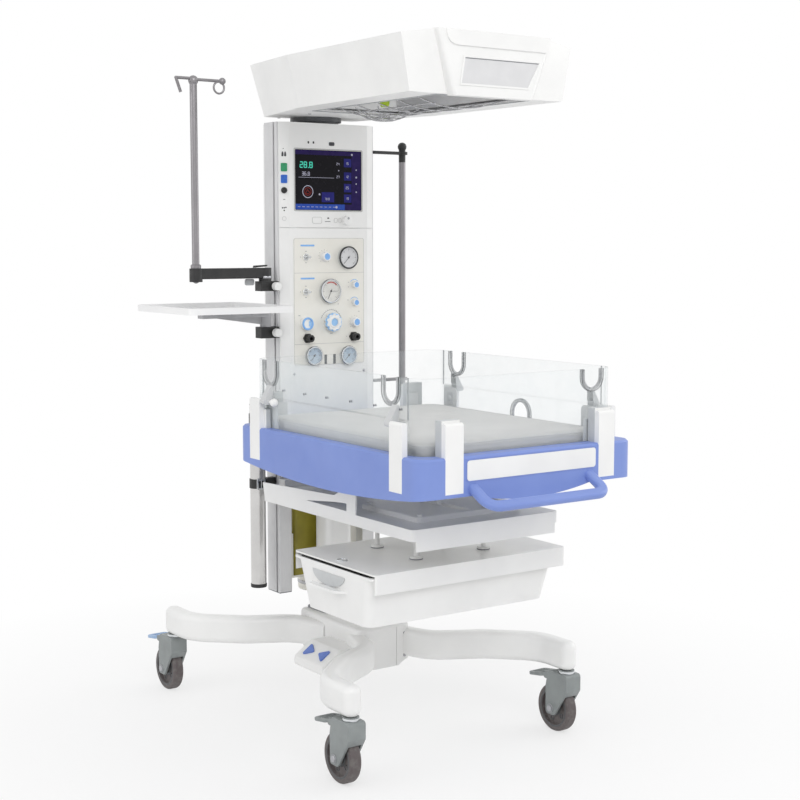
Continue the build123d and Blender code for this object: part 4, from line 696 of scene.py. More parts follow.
class Shape:
    """A mesh under way, in bed-centred millimetres."""

    def __init__(self) -> None:
        """Start with nothing."""
        self.mesh = bmesh.new()

    def slab(self, outline: Sequence[Flat], low: float, high: float,
             facing: Facing = Facing.FRONT) -> "Shape":
        """Add an outline carried between two levels.

        Args:
            outline: the outline's points.
            low: first level.
            high: second level.
            facing: the outline's plane.

        Returns:
            This shape.
        """
        rows = [[self.mesh.verts.new(spot(facing, u, v, level)) for u, v in outline] for level in (low, high)]
        self.mesh.faces.new(rows[0][::-1])
        self.mesh.faces.new(rows[1])
        self.bridge(rows[0], rows[1], True)
        return self

    def bridge(self, first: list, second: list, closed: bool) -> None:
        """Join two rows of points with four-sided faces.

        Args:
            first: one row.
            second: the other row.
            closed: whether the rows run round.
        """
        count = len(first)
        for k in range(count if closed else count - 1):
            n = (k + 1) % count
            self.mesh.faces.new((first[k], first[n], second[n], second[k]))

    def frame(self, outer: Sequence[Flat], inner: Sequence[Flat], low: float, high: float,
              facing: Facing = Facing.FRONT) -> "Shape":
        """Add a flat frame between two outlines with as many points each.

        Args:
            outer: outer outline.
            inner: inner outline.
            low: first level.
            high: second level.
            facing: the outlines' plane.

        Returns:
            This shape.
        """
        rows = [[self.mesh.verts.new(spot(facing, u, v, level)) for u, v in line]
                for line, level in ((outer, low), (outer, high), (inner, high), (inner, low))]
        for k in range(4):
            self.bridge(rows[k], rows[(k + 1) % 4], True)
        return self

    def turned(self, profile: Sequence[Flat], base: Point, axis: Point = FORWARD,
               steps: int = 48) -> "Shape":
        """Add a turned form.

        Args:
            profile: radius and distance along the axis, from end to end.
            base: where the axis starts.
            axis: the axis.
            steps: steps round.

        Returns:
            This shape.
        """
        way = Vector(axis).normalized()
        side = way.orthogonal().normalized()
        other = way.cross(side)
        rows = []
        for radius, along in profile:
            middle = Vector(base) + way * along
            if radius <= 0:
                rows.append([self.mesh.verts.new(middle)])
                continue
            row = []
            for k in range(steps):
                a = math.tau * k / steps
                row.append(self.mesh.verts.new(middle + (side * math.cos(a) + other * math.sin(a)) * radius))
            rows.append(row)
        for first, second in zip(rows, rows[1:]):
            if len(first) == 1 and len(second) > 1:
                self.fan(first[0], second)
            elif len(second) == 1 and len(first) > 1:
                self.fan(second[0], first)
            elif len(first) > 1:
                self.bridge(first, second, True)
        return self

    def fan(self, tip: bmesh.types.BMVert, row: list) -> None:
        """Join a tip to a row that runs round."""
        for k in range(len(row)):
            self.mesh.faces.new((tip, row[k], row[(k + 1) % len(row)]))

    def lay(self, outlines: Iterable[Sequence[Flat]], level: float, deep: float) -> "Shape":
        """Lay flat forms on a face that looks forward, at the level of that face."""
        for outline in outlines:
            self.slab(outline, level - deep, level)
        return self

    def border(self, centre: Flat, outer: Point, inner: Point, low: float, high: float,
               facing: Facing = Facing.FRONT, steps: int = 5) -> "Shape":
        """Add a flat border between two rounded rectangles, each given by width, height and radius."""
        return self.frame(rounded(centre, *outer, steps), rounded(centre, *inner, steps), low, high, facing)

    def studs(self, places: Iterable[Point], axis: Point, *forms: tuple[Sequence[Flat], int]) -> "Shape":
        """Add the same turned forms at several places.

        Args:
            places: where the axes start.
            axis: the axis.
            forms: the profile of each form and its steps round.

        Returns:
            This shape.
        """
        for place in places:
            for profile, steps in forms:
                self.turned(profile, place, axis, steps)
        return self

    def lay_ring(self, centre: Flat, outer: float, inner: float, steps: int, level: float,
                 deep: float) -> "Shape":
        """Lay a flat ring on a face that looks forward, at the level of that face."""
        return self.frame(ring_points(centre, outer, steps), ring_points(centre, inner, steps), level - deep,
                          level)

    def wire(self, points: Sequence[Point], radius: float, sides: int = 10,
             closed: bool = False) -> "Shape":
        """Add a round bar along a line of points.

        Args:
            points: the line.
            radius: the bar's radius.
            sides: its sides.
            closed: whether the line runs round.

        Returns:
            This shape.
        """
        line = [Vector(p) for p in points]
        count = len(line)
        rows = []
        side = None
        for k, here in enumerate(line):
            before = line[k - 1] if k or closed else here
            after = line[(k + 1) % count] if k + 1 < count or closed else here
            way = (after - before).normalized()
            side = way.orthogonal() if side is None else side - way * side.dot(way)
            side.normalize()
            other = way.cross(side)
            angles = [math.tau * n / sides for n in range(sides)]
            rows.append([self.mesh.verts.new(here + (side * math.cos(a) + other * math.sin(a)) * radius)
                         for a in angles])
        for first, second in zip(rows, rows[1:]):
            self.bridge(first, second, True)
        if closed:
            self.bridge(rows[-1], rows[0], True)
        else:
            self.mesh.faces.new(rows[0][::-1])
            self.mesh.faces.new(rows[-1])
        return self

    def moved(self, turn: Matrix, shift: Point = (0, 0, 0)) -> "Shape":
        """Turn all of it and shift it by millimetres."""
        bmesh.ops.transform(self.mesh, matrix=Matrix.Translation(shift) @ turn.to_4x4(), verts=self.mesh.verts)
        return self

    def piece(self, name: str, finish: Finish, body: str, soft: float = 0.0,
              smooth: float = 35.0) -> bpy.types.Object:
        """Finish the shape as a piece of the scene.

        Args:
            name: the piece's name.
            finish: its finish.
            body: the body it rides on.
            soft: width of its softened edges in millimetres.
            smooth: angle in degrees up to which edges are shaded smooth.

        Returns:
            The object.
        """
        for vert in self.mesh.verts:
            vert.co = at(*vert.co)
        bmesh.ops.recalc_face_normals(self.mesh, faces=self.mesh.faces)
        data = bpy.data.meshes.new(name)
        self.mesh.to_mesh(data)
        self.mesh.free()
        thing = placed(name, data)
        data.materials.append(material_of(finish))
        for face in data.polygons:
            face.use_smooth = True
        data.set_sharp_from_angle(angle=math.radians(smooth))
        if soft:
            edge = thing.modifiers.new("soft_edges", "BEVEL")
            edge.width = soft * MM
            edge.segments = 2
            edge.limit_method = "ANGLE"
            edge.angle_limit = math.radians(40.0)
            edge.harden_normals = False
        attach(thing, body)
        log.info("piece %s on %s", name, body)
        return thing


# Finishes of the solids that stay

FAR = 3000.0
CORNERS = {"front_left": (-1, -1), "front_right": (1, -1), "rear_left": (-1, 1), "rear_right": (1, 1)}


def pedal_finish(corner: str) -> Finish:
    """Colour the rear left pedal blue, as in the photograph, and the others grey."""
    return PEDAL_BLUE if corner == "rear_left" else CASTER_GREY


@dataclass
class SolidFinishes:
    """The finish of every solid that is shown as it is."""

    plain: dict[str, Finish] = field(default_factory=lambda: {
        "base_hub": WHITE_PAINT, "base_legs": WHITE_PAINT, "lift_column": WHITE_PAINT,
        "foot_control": WHITE_MOULD, "foot_button_up": BUTTON_BLUE, "foot_button_down": BUTTON_BLUE,
        "lift_stage": STEEL, "carrier_frame": WHITE_PAINT, "drawer_housing": WHITE_PAINT,
        "drawer_bin": WHITE_MOULD, "mast_columns": ALUMINIUM, "monitor_housing": WHITE_MOULD,
        "display_panel": GLASS_DARK, "rear_cover": WHITE_MOULD, "menu_dial": WHITE_MOULD,
        "deck_skirt": BLUE_MOULD, "deck_tray": CLIP_PALE, "tilt_sector": WHITE_PAINT,
        "front_wall": CLEAR_WALL, "fixed_walls": CLEAR_WALL, "flap_left": CLEAR_FLAP, "flap_right": CLEAR_FLAP,
        "wall_latch": WHITE_MOULD, "hood_shell": WHITE_MOULD, "hood_swivel": GREY_DARK,
        "heater_reflector": REFLECTOR, "heater_guard": WIRE, "toggle_1": CHROME, "toggle_2": CHROME})
    parted: dict[str, Parted] = field(default_factory=lambda: {
        "wall_posts": Parted("post_white_clip_grey", "white_plastic", CLIP_PALE, WHITE_MOULD,
                             (((-303.9, -395.9, 0), (303.9, 393.9, FAR)),)),
        "gas_module": Parted("module_white_panel_cream", "white_plastic", CREAM, WHITE_MOULD,
                             (((-113.1, 440.0, 941.9), (113.1, 459.9, 1287.1)),)),
        "panel_fittings": Parted("rim_chrome_socket_black", "chrome", BLACK, CHROME,
                                 (((-90, 400, 998), (95, 470, 1034)),)),
        "accessory_pole": Parted("bar_black_pole_grey", "black_plastic", BLACK, SATIN,
                                 (((-FAR, 0, 1500.0), (FAR, FAR, FAR)),)),
        "iv_pole": Parted("pole_chrome_arm_black", "chrome", BLACK, SATIN,
                          (((-FAR, 0, 0), (FAR, FAR, 1208.3)),)),
        "rail_clamps": Parted("clamp_black_knob_white", "black_plastic", WHITE_MOULD, BLACK,
                              (((-FAR, 0, 0), (FAR, 456.0, FAR)),)),
        "side_tube": Parted("tube_steel_strap_black", "chrome", BLACK, TUBE_STEEL,
                            (((-FAR, 0, 611.7), (FAR, FAR, 637.3)), ((-FAR, 0, 789.7), (FAR, FAR, 815.3)))),
        "rear_box": Parted("box_olive_cradle_cream", "olive_box", OLIVE, CREAM,
                           (((-90.2, 500, 351.9), (90.2, 562, 592)),)),
        "shelf_tray": Parted("tray_white_bracket_grey", "white_plastic", GREY_PAINT, SHELF_WHITE,
                             (((-FAR, 0, 0), (FAR, FAR, 1093.6)),)),
        "heater_element": Parted("rod_steel_end_ceramic", "ceramic", STEEL_ROD, CERAMIC,
                                 (((-FAR, -127.5, 0), (FAR, 227.5, FAR)),))})

    def apply(self) -> None:
        """Give every kept solid its finish."""
        table = self.plain | self.parted
        for corner in CORNERS:
            table[f"caster_wheel_{corner}"] = TYRE
            table[f"caster_fork_{corner}"] = CASTER_GREY
            table[f"caster_brake_{corner}"] = pedal_finish(corner)
        for number in range(1, 7):
            table[f"gas_knob_{number}"] = WHITE_MOULD
        for name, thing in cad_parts.items():
            if name in table:
                thing.data.materials.clear()
                thing.data.materials.append(material_of(table[name]))
                log.info("solid %s in %s", name, table[name].name)


# Tower face

SEGMENTS: dict[str, str] = {"0": "abcdef", "1": "bc", "2": "abged", "3": "abgcd", "4": "fgbc", "5": "afgcd",
                            "6": "afgedc", "7": "abc", "8": "abcdefg", "9": "abcdfg"}


@dataclass
class Tower:
    """Monitor with its screen and strip, gas panel with gauges and knobs, lower cover and rear."""

    front: float = 460.0
    panel: float = 458.5
    back: float = 610.0
    screen_mid: float = 1443.0
    screen_half: float = 79.45
    glass: float = 461.0
    dial: Flat = (56, 1335)
    gauges: tuple[tuple[float, float, float], ...] = ((57, 1234, 30), (-1, 1143, 32), (-55, 968, 25),
                                                      (57, 965, 25))
    gauge_faces: tuple[Finish, ...] = (FASCIA_GREY, PRINT_WHITE, PRINT_BLUE, PRINT_BLUE)
    pointers: tuple[float, ...] = (228, 246, 232, 226)
    gauge_rim: float = 446.5
    knobs: tuple[tuple[float, float, float, float], ...] = (
        (-16, 1237, 12, 16), (81, 1159, 10, 13), (81, 1110, 10, 13), (-77, 1056, 17, 12), (5, 1058, 24, 18),
        (81, 1056, 12, 15))
    toggles: tuple[Flat, ...] = ((-75, 1236), (-76, 1142))

    def digits(self, text: str, left: float, low: float, high: float) -> list[list[Flat]]:
        """Draw numbers in bars, as a display does.

        Args:
            text: digits and points.
            left: left edge.
            low: lower edge.
            high: upper edge.

        Returns:
            The bars' outlines.
        """
        tall = high - low
        wide = tall * 0.55
        thick = tall * 0.16
        mid = (low + high) / 2
        bars: list[list[Flat]] = []
        for sign in text:
            if sign == ".":
                bars.append(bar((left - tall * 0.02, low), (left + tall * 0.16, low), thick))
                left += tall * 0.34
                continue
            right = left + wide
            ends = {"a": ((left, high), (right, high)), "b": ((right, high), (right, mid)),
                    "c": ((right, mid), (right, low)), "d": ((left, low), (right, low)),
                    "e": ((left, mid), (left, low)), "f": ((left, high), (left, mid)),
                    "g": ((left, mid), (right, mid))}
            bars += [bar(*ends[key], thick) for key in SEGMENTS[sign]]
            left += wide + tall * 0.32
        return bars

    def build_screen(self) -> None:
        """Lay out the monitor's lit fields, numbers and round indicator."""
        low, high = self.screen_mid - self.screen_half, self.screen_mid + self.screen_half
        fields = (("top_bar", (-105, high - 12, 105, high), PIX_VIOLET),
                  ("menu_strip", (75, low + 15, 105, high - 12), PIX_VIOLET),
                  ("low_bar", (-105, low, 52, low + 15), PIX_SKY),
                  ("low_corner", (52, low, 105, low + 15), PIX_VIOLET),
                  ("tile_1", (50, 1480, 74, 1503), PIX_BLUE), ("tile_2", (50, 1444, 74, 1466), PIX_BLUE),
                  ("tile_3", (50, 1412, 74, 1435), PIX_BLUE), ("tile_4", (50, 1384, 74, 1406), PIX_BLUE),
                  ("tile_low", (-22, 1384, 18, 1411), PIX_BLUE))
        for name, edges, finish in fields:
            Shape().lay([box(*edges)], self.glass, 0.3).piece(f"screen_{name}", finish, "mast")
        teal = Shape().lay(self.digits("28.8", -90.0, 1476.0, 1490.5), self.glass, 0.5)
        teal.piece("screen_large_number", PIX_TEAL, "mast")
        pale = Shape()
        rows = (("36.8", -84.0, 1455.0, 1464.0), ("24", 26.0, 1485.0, 1491.0), ("27", 26.0, 1450.0, 1456.0),
                ("15", 56.0, 1487.0, 1493.0), ("12", 56.0, 1451.0, 1457.0), ("70.8", -12.0, 1390.0, 1395.5),
                ("25", 56.0, 1421.0, 1427.0), ("19", 56.0, 1392.0, 1398.0))
        for row in rows:
            pale.lay(self.digits(*row), self.glass, 0.5)
        pale.lay([bar((-95, 1449.7), (18, 1449.7), 0.9)], self.glass, 0.4)
        dots = ((-29, 1405, 2.6), (33, 1470, 1.8), (76, 1514, 3.0), (90, 1473, 2.0), (90, 1453, 2.6),
                (90, 1435, 2.0), (90, 1413, 2.0), (25, 1371, 3.4))
        pale.lay((ring_points((x, z), radius, 16) for x, z, radius in dots), self.glass, 0.5)
        pale.lay((bar((x, 1371), (x + 8, 1371), 1.2) for x in range(-98, 15, 14)), self.glass, 0.5)
        pale.lay_ring((-66, 1411.5), 17.0, 15.2, 40, self.glass, 0.5)
        pale.piece("screen_numbers", PIX_WHITE, "mast", smooth=20.0)
        red = Shape().lay_ring((-66, 1412), 11.0, 9.6, 32, self.glass, 0.45)
        strokes = (((-73, 1408), (-67, 1417)), ((-67, 1417), (-60, 1409)), ((-72, 1406), (-60, 1406)))
        red.lay((bar(start, end, 1.4) for start, end in strokes), self.glass, 0.45)
        red.piece("screen_round_mark", PIX_RED, "mast")
        rim = Shape().border((0, self.screen_mid), (220.6, 168.8, 4.0), (213.0, 161.2, 2.6), self.front - 0.8,
                             self.front + 3.6)
        rim.piece("screen_surround", INK_FAINT, "mast", 0.4)

    def build_marks(self) -> None:
        """Add the small marks round the screen, and the pads and the dial's ring and cap under it."""
        marks = ((-64, 1543, 5, 6.5), (-48, 1543, 5, 6.5), (10, 1541, 18, 10), (-2, 1341, 6, 4),
                 (-4, 1332, 18, 1.4))
        Shape().lay((rounded((x, z), wide, tall, min(wide, tall) * 0.3) for x, z, wide, tall in marks),
                    self.front, 0.35).piece("monitor_marks", INK, "mast", 0.1)
        pads = Shape()
        for x, wide, tall, radius in ((-38, 31, 18, 5.0), (22, 11, 12, 3.5), (36, 9, 13, 3.5)):
            pads.border((x, 1335), (wide, tall, radius), (wide - 1.6, tall - 1.6, radius - 0.8),
                        self.front - 0.6, self.front)
        pads.piece("monitor_touch_pads", INK_FAINT, "mast")
        key = Shape().lay([rounded((-38, 1335), 28.5, 15.5, 4.0)], self.front, 1.1)
        key.piece("monitor_wide_key", WHITE_MOULD, "mast", 0.5)
        ring = Shape().lay_ring(self.dial, 12.8, 11.6, 48, self.front, 1.2)
        ring.piece("dial_ring", INK_FAINT, "mast", 0.3)
        x, z = self.dial
        cap = Shape().turned(((0.0, 0.8), (9.0, 0.6), (10.4, 0.0), (10.6, -0.6)), (x, self.front - 12.0, z))
        cap.piece("dial_cap", WHITE_MOULD, "dial")
        mark = Shape().turned(((3.4, 0.0), (3.4, 0.9), (0.0, 1.0)), (x, self.front - 12.4, z + 6))
        mark.piece("dial_finger_mark", GREY_LIGHT, "dial")

    def on_strip(self, shape: Shape) -> Shape:
        """Turn a shape drawn at the origin onto the left slanted strip."""
        turn = Matrix.Rotation(math.atan2(-11.0, 25.0), 3, "Z")
        return shape.moved(turn, (-137.5, 465.5, 0.0))

    def build_strip(self) -> None:
        """Add the row of sockets and marks on the slanted strip left of the screen."""
        for name, z, finish in (("green", 1475.0, GREEN), ("blue", 1444.0, BLUE)):
            body = Shape().slab(rounded((0, z), 17.0, 22.0, 2.5), -3.0, 0.5)
            self.on_strip(body).piece(f"strip_socket_{name}", finish, "mast", 0.7)
            well = Shape().border((0, z), (11.5, 15.5, 2.0), (8.5, 12.5, 1.4), -3.5, -2.6)
            self.on_strip(well).piece(f"strip_socket_{name}_lip", finish, "mast", 0.2)
        icon = Shape()
        for x in (-3.6, 3.6):
            icon.slab(rounded((x, 1508), 5.4, 8.5, 1.2), -0.4, 0.4)
            icon.turned(((2.2, 0.0), (2.2, 0.8), (0.0, 0.9)), (x, 0.4, 1514.0), steps=20)
        icon.slab(bar((-3, 1523.5), (0, 1525.0), 1.2), -0.3, 0.4)
        lobes = ((-4.5, 0.4, 1367.5), (0.0, 0.4, 1367.5), (4.5, 0.4, 1368.5), (0.0, 0.4, 1360.5))
        icon.studs(lobes, FORWARD, (((1.9, 0.0), (1.9, 0.8), (0.0, 0.9)), 20))
        icon.slab(bar((-2.5, 1390), (3, 1390), 1.3), -0.3, 0.4)
        self.on_strip(icon).piece("strip_marks", INK, "mast")
        socket = Shape().turned(((0.0, -0.4), (8.2, -0.4), (8.2, 4.0), (7.4, 5.0), (5.6, 5.0), (5.2, 1.6),
                                 (0.0, 1.6)), (0, 0, 1414), steps=40)
        pins = (polar((0.0, 1414), 3.0, math.radians(90 + 72 * k)) for k in range(5))
        socket.studs(((x, 0.0, z) for x, z in pins), FORWARD, (((0.8, 1.5), (0.8, 3.6), (0.0, 3.8)), 10))
        self.on_strip(socket).piece("strip_round_socket", BLACK, "mast")
        pad = Shape().border((0, 1339), (10.5, 11.0, 4.5), (8.9, 9.4, 3.7), -0.6, 0.4)
        self.on_strip(pad).piece("strip_touch_pad", INK_FAINT, "mast")

    def build_gauges(self) -> None:
        """Add faces, scales, pointers, lenses and rims to the four gauges."""
        back = self.gauge_rim + 3.0
        for number, (x, z, radius) in enumerate(self.gauges):
            inner = radius - 3.0
            two_pointers = number == 1
            tag = f"gauge_{number + 1}"
            dish = ((0.0, 0.35), (inner - 2.0, 0.35), (inner - 0.2, 1.2), (inner - 0.2, 0.0))
            Shape().turned(dish, (x, back, z)).piece(f"{tag}_face", self.gauge_faces[number], "mast")
            scale = Shape()
            for k in range(31):
                deep, wide = (7.5, 0.9) if k % 5 == 0 else (5.0, 0.45)
                scale.lay(ticks((x, z), inner - deep, inner - 2.4, [225 - 9 * k], wide), back - 0.2, 0.35)
            swing = math.radians(self.pointers[number])
            pointers = [bar(polar((x, z), -6.0, swing), polar((x, z), inner - 6.0, swing), 1.1)]
            scale.lay(pointers, back - 0.9, 0.4)
            scale.turned(((0.0, 1.9), (2.2, 1.8), (2.6, 1.2), (2.6, 0.3)), (x, back, z), steps=24)
            if two_pointers:
                scale.lay([bar((x, z), (x + inner - 8.0, z - 1.0), 0.7)], back - 0.9, 0.4)
            scale.piece(f"{tag}_scale", INK, "mast", smooth=20.0)
            if two_pointers:
                red = Shape().lay([arc_band((x, z), inner - 6.5, inner - 3.2, 42, 78)], back - 0.25, 0.5)
                red.piece(f"{tag}_red_band", INK_RED, "mast")
            lens = ((inner - 0.1, -0.1), (inner - 1.0, 0.7), (inner * 0.7, 1.1), (0.0, 1.35))
            Shape().turned(lens, (x, self.gauge_rim + 0.8, z)).piece(f"{tag}_lens", LENS, "mast")
            bezel = ((radius - 0.1, 0.0), (radius + 0.5, 0.4), (radius + 0.5, 2.6), (radius - 0.3, 3.4),
                     (inner + 0.3, 3.4))
            Shape().turned(bezel, (x, back, z)).piece(f"{tag}_bezel", CHROME if number else BLACK, "mast")
            edge = ((radius + 0.4, 0.2), (radius + 1.3, 0.2), (radius + 1.3, 1.8), (radius + 0.4, 2.6))
            Shape().turned(edge, (x, back, z)).piece(f"{tag}_dark_edge", GREY_DARK, "mast")

    def build_knobs(self) -> None:
        """Add skirts, coloured caps, rings and scales to the six knobs."""
        for number, (x, z, radius, length) in enumerate(self.knobs):
            body = f"knob_{number + 1}"
            end = self.front - length
            if number == 3:
                ring = ((radius - 0.2, 0.0), (radius + 0.6, 1.0), (radius + 0.4, 3.2), (radius - 2.0, 4.2),
                        (radius - 4.6, 3.0), (radius - 4.8, 0.0))
                Shape().turned(ring, (x, end, z)).piece("ring_knob_band", INK_BLUE, body)
                part = Shape().slab(arc_band((x, z), 4.0, radius - 5.5, -55, 110), end - 2.5, end + 0.2)
                part.piece("ring_knob_field", LIGHT_BLUE, body, 0.3)
                continue
            share, finish = (0.46, LIGHT_BLUE) if number == 4 else (0.8, INK_BLUE)
            cap_r = radius * share
            cap = ((cap_r, -1.2), (cap_r, 0.8), (cap_r - 0.8, 1.5), (0.0, 1.9))
            Shape().turned(cap, (x, end, z)).piece(f"{body}_cap", finish, body)
            if number in (0, 5):
                skirt = ((radius + 0.3, 0.0), (radius + 2.2, 0.4), (radius + 2.2, 2.0), (radius + 0.3, 2.8))
                Shape().turned(skirt, (x, self.panel - 0.4, z)).piece(f"{body}_skirt", WHITE_MOULD, body)
        self.build_mixer()
        arcs = (arc_band((81, z), 14.0, 15.4, 35, 110) for z in (1159, 1110))
        Shape().lay(arcs, self.panel, 0.35).piece("knob_blue_arcs", INK_BLUE, "mast")
        fine = Shape().lay([arc_band((5, 1058), 33.0, 33.8, 20, 140)], self.panel, 0.3)
        fine.lay(ticks((5, 1058), 33.5, 36.0, range(20, 161, 10), 0.6), self.panel, 0.3)
        for centre, inner in (((81, 1056), 16.5), ((-16, 1237), 17.0)):
            fine.lay(ticks(centre, inner, inner + 2.2, range(225, -46, -27), 0.7), self.panel, 0.3)
        fine.piece("knob_scales", GREY_MID, "mast")

    def build_mixer(self) -> None:
        """Add the scalloped blue ring and white crown of the large knob."""
        x, z, radius, _ = self.knobs[4]
        scallops, steps = 10, 80
        points: list[Flat] = []
        for k in range(steps):
            a = math.tau * k / steps
            dip = max(0.0, math.cos(a * scallops)) ** 3 * 2.6
            points.append(polar((x, z), radius + 1.4 - dip, a))
        ring = Shape().frame(points, ring_points((x, z), radius - 6.0, steps), self.panel - 16.0,
                             self.panel - 9.0)
        ring.piece("mixer_scalloped_ring", LIGHT_BLUE, "knob_5", 0.8)
        crown = Shape().turned(((16.0, 0.0), (16.0, 3.0), (15.0, 4.2), (11.5, 4.4)), (x, self.panel - 15.5, z))
        crown.piece("mixer_crown", WHITE_MOULD, "knob_5")

    def build_panel(self) -> None:
        """Add the panel's blue bars, row lines, small marks, dark strips and the toggles' nuts."""
        bars = (rounded((-70, z), 44, 4.6, 1.4) for z in (1267.0, 1178.0))
        Shape().lay(bars, self.panel, 0.5).piece("panel_blue_bars", INK_BLUE, "mast", 0.2)
        lines = Shape().lay((dash(0, z, 224, 0.9) for z in (1193.0, 1000.0)), self.panel, 0.3)
        lines.border((0, 1114.5), (225.6, 344.6, 6.0), (224.0, 343.0, 5.4), self.panel - 0.35, self.panel)
        lines.piece("panel_row_lines", INK_FAINT, "mast")
        marks = Shape()
        for x, z in self.toggles:
            marks.lay((dash(x, z - 15.5, 5.0, 1.1), dash(x, z + 15.5, 6.0, 1.1),
                       ring_points((x - 17.0, z), 1.0, 12), ring_points((x + 17.0, z), 1.0, 12)),
                      self.panel, 0.3)
        dashes = ((28, 1107, 4), (62, 1166, 4), (62, 1153, 3), (60, 1117, 4), (-97, 1078, 6), (5, 1027, 9),
                  (96, 1085, 4), (-49, 1017, 3), (55, 1017, 3))
        marks.lay((dash(x, z, wide, 1.2) for x, z, wide in dashes), self.panel, 0.3)
        marks.piece("panel_small_marks", GREY_MID, "mast")
        nut = ((11.6, 0.0), (11.6, 1.0), (9.0, 3.2), (7.2, 3.2), (7.2, 2.4))
        for number, (x, z) in enumerate(self.toggles, 1):
            part = Shape().turned(nut, (x, self.panel, z), steps=6)
            part.piece(f"toggle_nut_{number}", CHROME, "mast", 0.3)
        strips = (rounded((x, 956.0), 8.0, 26.0, 1.0) for x in (-13.5, 15.0))
        Shape().lay(strips, self.panel, 0.5).piece("panel_dark_strips", GREY_DARK, "mast", 0.2)
        joints = (bar((side * 124.0, 1314.5), (side * 100.0, 1314.5), 0.7) for side in SIDES)
        Shape().lay(joints, self.front + 1.0, 1.1).piece("module_joint_shadow", GREY_LIGHT, "mast")

    def build_cover(self) -> None:
        """Add grey dots of painted shade for the lower cover's small holes, and its screws."""
        # the holes are not cut: grey dots stand for the shade inside them
        holes = ((x, self.front, z) for z in range(700, 731, 6) for x in range(-24, 25, 6))
        dots = Shape().studs(holes, FORWARD, (((1.7, -0.2), (1.7, 0.3), (0.0, 0.35)), 10))
        dots.piece("cover_sound_holes_painted_shade", GREY_MID, "mast")
        places = ((x, self.front, z) for z in (652, 920) for x in (-113, 113))
        screws = Shape().studs(places, FORWARD, (screw(4.2, 0.6, 1.5, 1.7), 24),
                               (((1.5, 1.4), (1.5, 1.9), (0.0, 1.9)), 6))
        screws.piece("cover_screws", STEEL, "mast")

    def build_rear(self) -> None:
        """Add the rear housing's screws, bare plate, mains inlet, fuse caps and slot lips."""
        back = self.back
        places = ((x, back, z) for x in (-98, 98) for z in (900, 1060, 1300, 1575))
        screws = Shape().studs(places, BEHIND, (screw(4.2, 0.6, 1.5, 1.7), 24))
        screws.piece("rear_screws", STEEL, "mast")
        plate = Shape().slab(rounded((0, 1010), 110, 56, 4.0), back - 0.2, back + 1.0)
        plate.piece("rear_bare_plate", GREY_LIGHT, "mast", 0.3)
        inlet = Shape().border((-45, 930), (54, 34, 5.0), (34, 24, 4.0), back - 0.3, back + 4.0)
        inlet.slab(rounded((-45, 930), 34.2, 24.2, 4.0), back - 0.3, back + 0.6)
        for x, z in ((-52, 928), (-45, 934), (-38, 928)):
            inlet.slab(rounded((x, z), 2.2, 6.0, 0.4), back + 0.4, back + 3.4)
        inlet.piece("rear_mains_inlet", BLACK, "mast", 0.5)
        fuses = Shape()
        for x in (18, 46):
            fuses.turned(((9.0, -0.2), (9.0, 2.0), (7.0, 7.0), (0.0, 7.4)), (x, back, 930), BEHIND, 28)
            fuses.slab(dash(x, 930, 9.0, 1.4), back + 7.0, back + 8.0)
        fuses.piece("rear_fuse_caps", GREY_DARK, "mast")
        slots = Shape()
        for z in range(1083, 1244, 20):
            slots.border((0, z), (158, 13, 6.0), (149, 5.6, 2.7), back - 0.4, back + 1.4)
        slots.piece("rear_slot_lips", WHITE_MOULD, "mast", 0.4)

    def build(self) -> None:
        """Build everything on the tower."""
        self.build_screen()
        self.build_marks()
        self.build_strip()
        self.build_gauges()
        self.build_knobs()
        self.build_panel()
        self.build_cover()
        self.build_rear()


# Bed and walls

